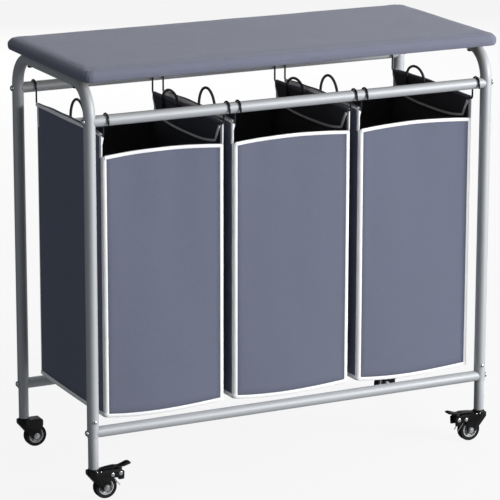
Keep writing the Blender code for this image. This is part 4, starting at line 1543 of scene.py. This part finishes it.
def on_cheek(face, x, z, gap):
    """The matrix that stands a mesh's +Z out from a cheek of the fork."""
    place = Matrix.Translation((x, face * (FORK_HW + gap), z))
    return place @ Matrix.Rotation(math.radians(-90 * face), 4, "X")


def hub_mesh():
    """Rim, ribbed web and boss of the wheel, turned about Y."""
    rim = WHEEL_HW - 0.0008
    half = [(0.0148, rim), (0.0138, 0.0040), (0.0070, 0.0036), (0.0062, WHEEL_HW), (0.0031, WHEEL_HW)]
    profile = [(HUB_R, rim), (HUB_R, -rim)] + [(r, -h) for r, h in half] + half[::-1]
    parts = [lathe(rounded(profile, 0.0005, 2, True), 56, True, closed=True)]
    for i in range(6):
        rib = softened(block((0.0064, -0.0060, -0.0006), (0.0141, 0.0060, 0.0006)), 0.0003, 1, 40)
        parts.append(moved(rib, Matrix.Rotation(math.pi * i / 3, 4, "Y")))
    return united(parts)


def tyre_mesh():
    """A tyre with round shoulders, two fine moulding lines and a groove round its tread."""
    shoulder = ((0.0173, 0.0008), (0.0200, 0.0003), (0.0204, 0.0006), (0.0210, 0.0002), (0.0225, 0.0))
    shoulder += ((0.0238, 0.0006), (0.0246, 0.0018), (WHEEL_R, 0.0036))
    half = [(radius, WHEEL_HW - inset) for radius, inset in shoulder]
    half += [(WHEEL_R, 0.0010), (0.0247, 0.0005)]
    profile = half + [(r, -h) for r, h in reversed(half)]
    return lathe(rounded(profile, 0.0004, 1, True), 72, True, closed=True)


def pedal_mesh():
    """The foot pedal, its boss, neck and brake lobe, with grip bars across the tip."""
    blade = [(0.0180, 0.0644), (0.0300, 0.0643), (0.0560, 0.0644), (0.0680, 0.0650)]
    blade += [(0.0820, 0.0690), (0.0835, 0.0722), (0.0760, 0.0738), (0.0670, 0.0702)]
    blade += [(0.0570, 0.0672), (0.0460, 0.0688), (0.0300, 0.0676), (0.0180, 0.0660)]
    top = prism(rounded(blade, 0.0030, 3, True), BLADE_HW)
    boss = cylinder(0.0058, PEDAL_HW, 32, PIN_X, PIN_Z)
    neck = block((0.0525, -PEDAL_HW, 0.0530), (0.0620, PEDAL_HW, 0.0660))
    lobe = block((0.0500, -PEDAL_HW, 0.0470), (0.0570, PEDAL_HW, 0.0540))
    mesh = combined(top, [boss, neck, lobe], "UNION")
    bore = cylinder(0.0022, 0.02, 20, PIN_X, PIN_Z)
    parts = [softened(combined(mesh, [bore], "DIFFERENCE"), 0.0008, 2, 45)]
    for i in range(4):
        bar = cylinder(0.0008, 0.0060, 12, 0.0705 + i * 0.0032, 0.0717 + i * 0.0006)
        bar.transform(Matrix.Diagonal((1, 0.66, 1, 1)))
        parts.append(bar)
    return united(parts)


def build_brake(name, body, place):
    """A front caster's rivets, spring, rocker pin and pedal."""
    rivets = []
    for x, z, radius, height in (
        (0.0385, 0.0520, 0.0044, 0.0012),
        (0.0035, 0.0618, 0.0014, 0.0006),
        (0.0118, 0.0618, 0.0014, 0.0006),
    ):
        rivets += [moved(rivet_mesh(radius, height), on_cheek(face, x, z, 0.0003)) for face in (-1, 1)]
    piece(f"{name}_cheek_rivets", moved(united(rivets), place), body, [ZINC])
    bend = ((0.0395, 0.0500), (0.0430, 0.0448), (0.0480, 0.0375), (0.0530, 0.0310), (0.0568, 0.0262))
    spring = [tube([(x, y, z) for x, z in bend], 0.0011, 10, 2) for y in (-0.0078, 0.0078)]
    piece(f"{name}_brake_spring", moved(united(spring), place), body, [ZINC])
    rocker = [cylinder(0.0020, FORK_HW, 20, PIN_X, PIN_Z)]
    rocker += [moved(rivet_mesh(0.0047, 0.0012), on_cheek(face, PIN_X, PIN_Z, 0.0004)) for face in (-1, 1)]
    piece(f"{name}_rocker_pin", moved(united(rocker), place), body, [ZINC], [f"{name}_brake_pin"])
    brake = f"{name}_brake"
    pedal = moved(pedal_mesh(), place)
    piece(f"{name}_foot_pedal", pedal, brake, [PLASTIC], [f"{brake}_pedal"], 40)


def build_casters():
    """The four casters. Only the front pair has brakes."""
    for depth_name, depth in DEPTHS:
        braked = depth_name == "front"
        for side_name, side in SIDES:
            name = f"{depth_name}_{side_name}"
            body, wheel = f"{name}_caster", f"{name}_wheel"
            turn = Matrix.Diagonal((-side, 1, 1, 1))
            place = Matrix.Translation((side * POST_X, depth * POST_Y, 0)) @ turn
            hub_place = place @ Matrix.Translation((TRAIL, 0, AXLE_Z))
            housing = moved(fork_mesh(braked), place)
            looks = [PLASTIC, ZINC]
            piece(f"{name}_fork_housing", housing, body, looks, [f"{body}_fork"], 40)
            nut = moved(nut_mesh(), on_cheek(-1, 0, 0, 0.0001))
            head = moved(rivet_mesh(0.0056, 0.0032), on_cheek(1, 0, 0, 0.0005))
            bolt = united([cylinder(AXLE_R, FORK_HW, 28), nut, head])
            piece(f"{name}_axle_bolt", moved(bolt, hub_place), body, [ZINC], [f"{name}_axle"])
            hub = moved(hub_mesh(), hub_place)
            piece(f"{name}_hub", hub, wheel, [HUB], [f"{wheel}_hub"])
            tread = moved(tyre_mesh(), hub_place)
            piece(f"{name}_tread", tread, wheel, [RUBBER], [f"{name}_tyre"])
            if braked:
                build_brake(name, body, place)


# ---------------------------------------------------------------- stage


def build_stage():
    """A floor and a plain sky round everything, kept out of the light that falls on the object."""
    floor_r, floor_z, floor_base, sky_r = 36.0, -0.0005, -0.02, 40.0
    disc = [(0.0, floor_z), (floor_r, floor_z), (floor_r, floor_base), (0.0, floor_base)]
    floor = linked("floor", lathe(disc, 96))
    floor.data.materials.append(floor_look("floor"))
    bm = bmesh.new()
    bmesh.ops.create_uvsphere(bm, u_segments=64, v_segments=32, radius=sky_r)
    sky = linked("sky", closed_up(bm))
    sky.data.materials.append(sky_look("sky"))
    for backdrop in (floor, sky):
        backdrop.visible_diffuse = False
        backdrop.visible_glossy = False
    sky.visible_transmission = False
    sky.visible_shadow = False


make_camera()
make_studio()
build_stage()
build_frame()
build_board()
build_bags()
build_casters()
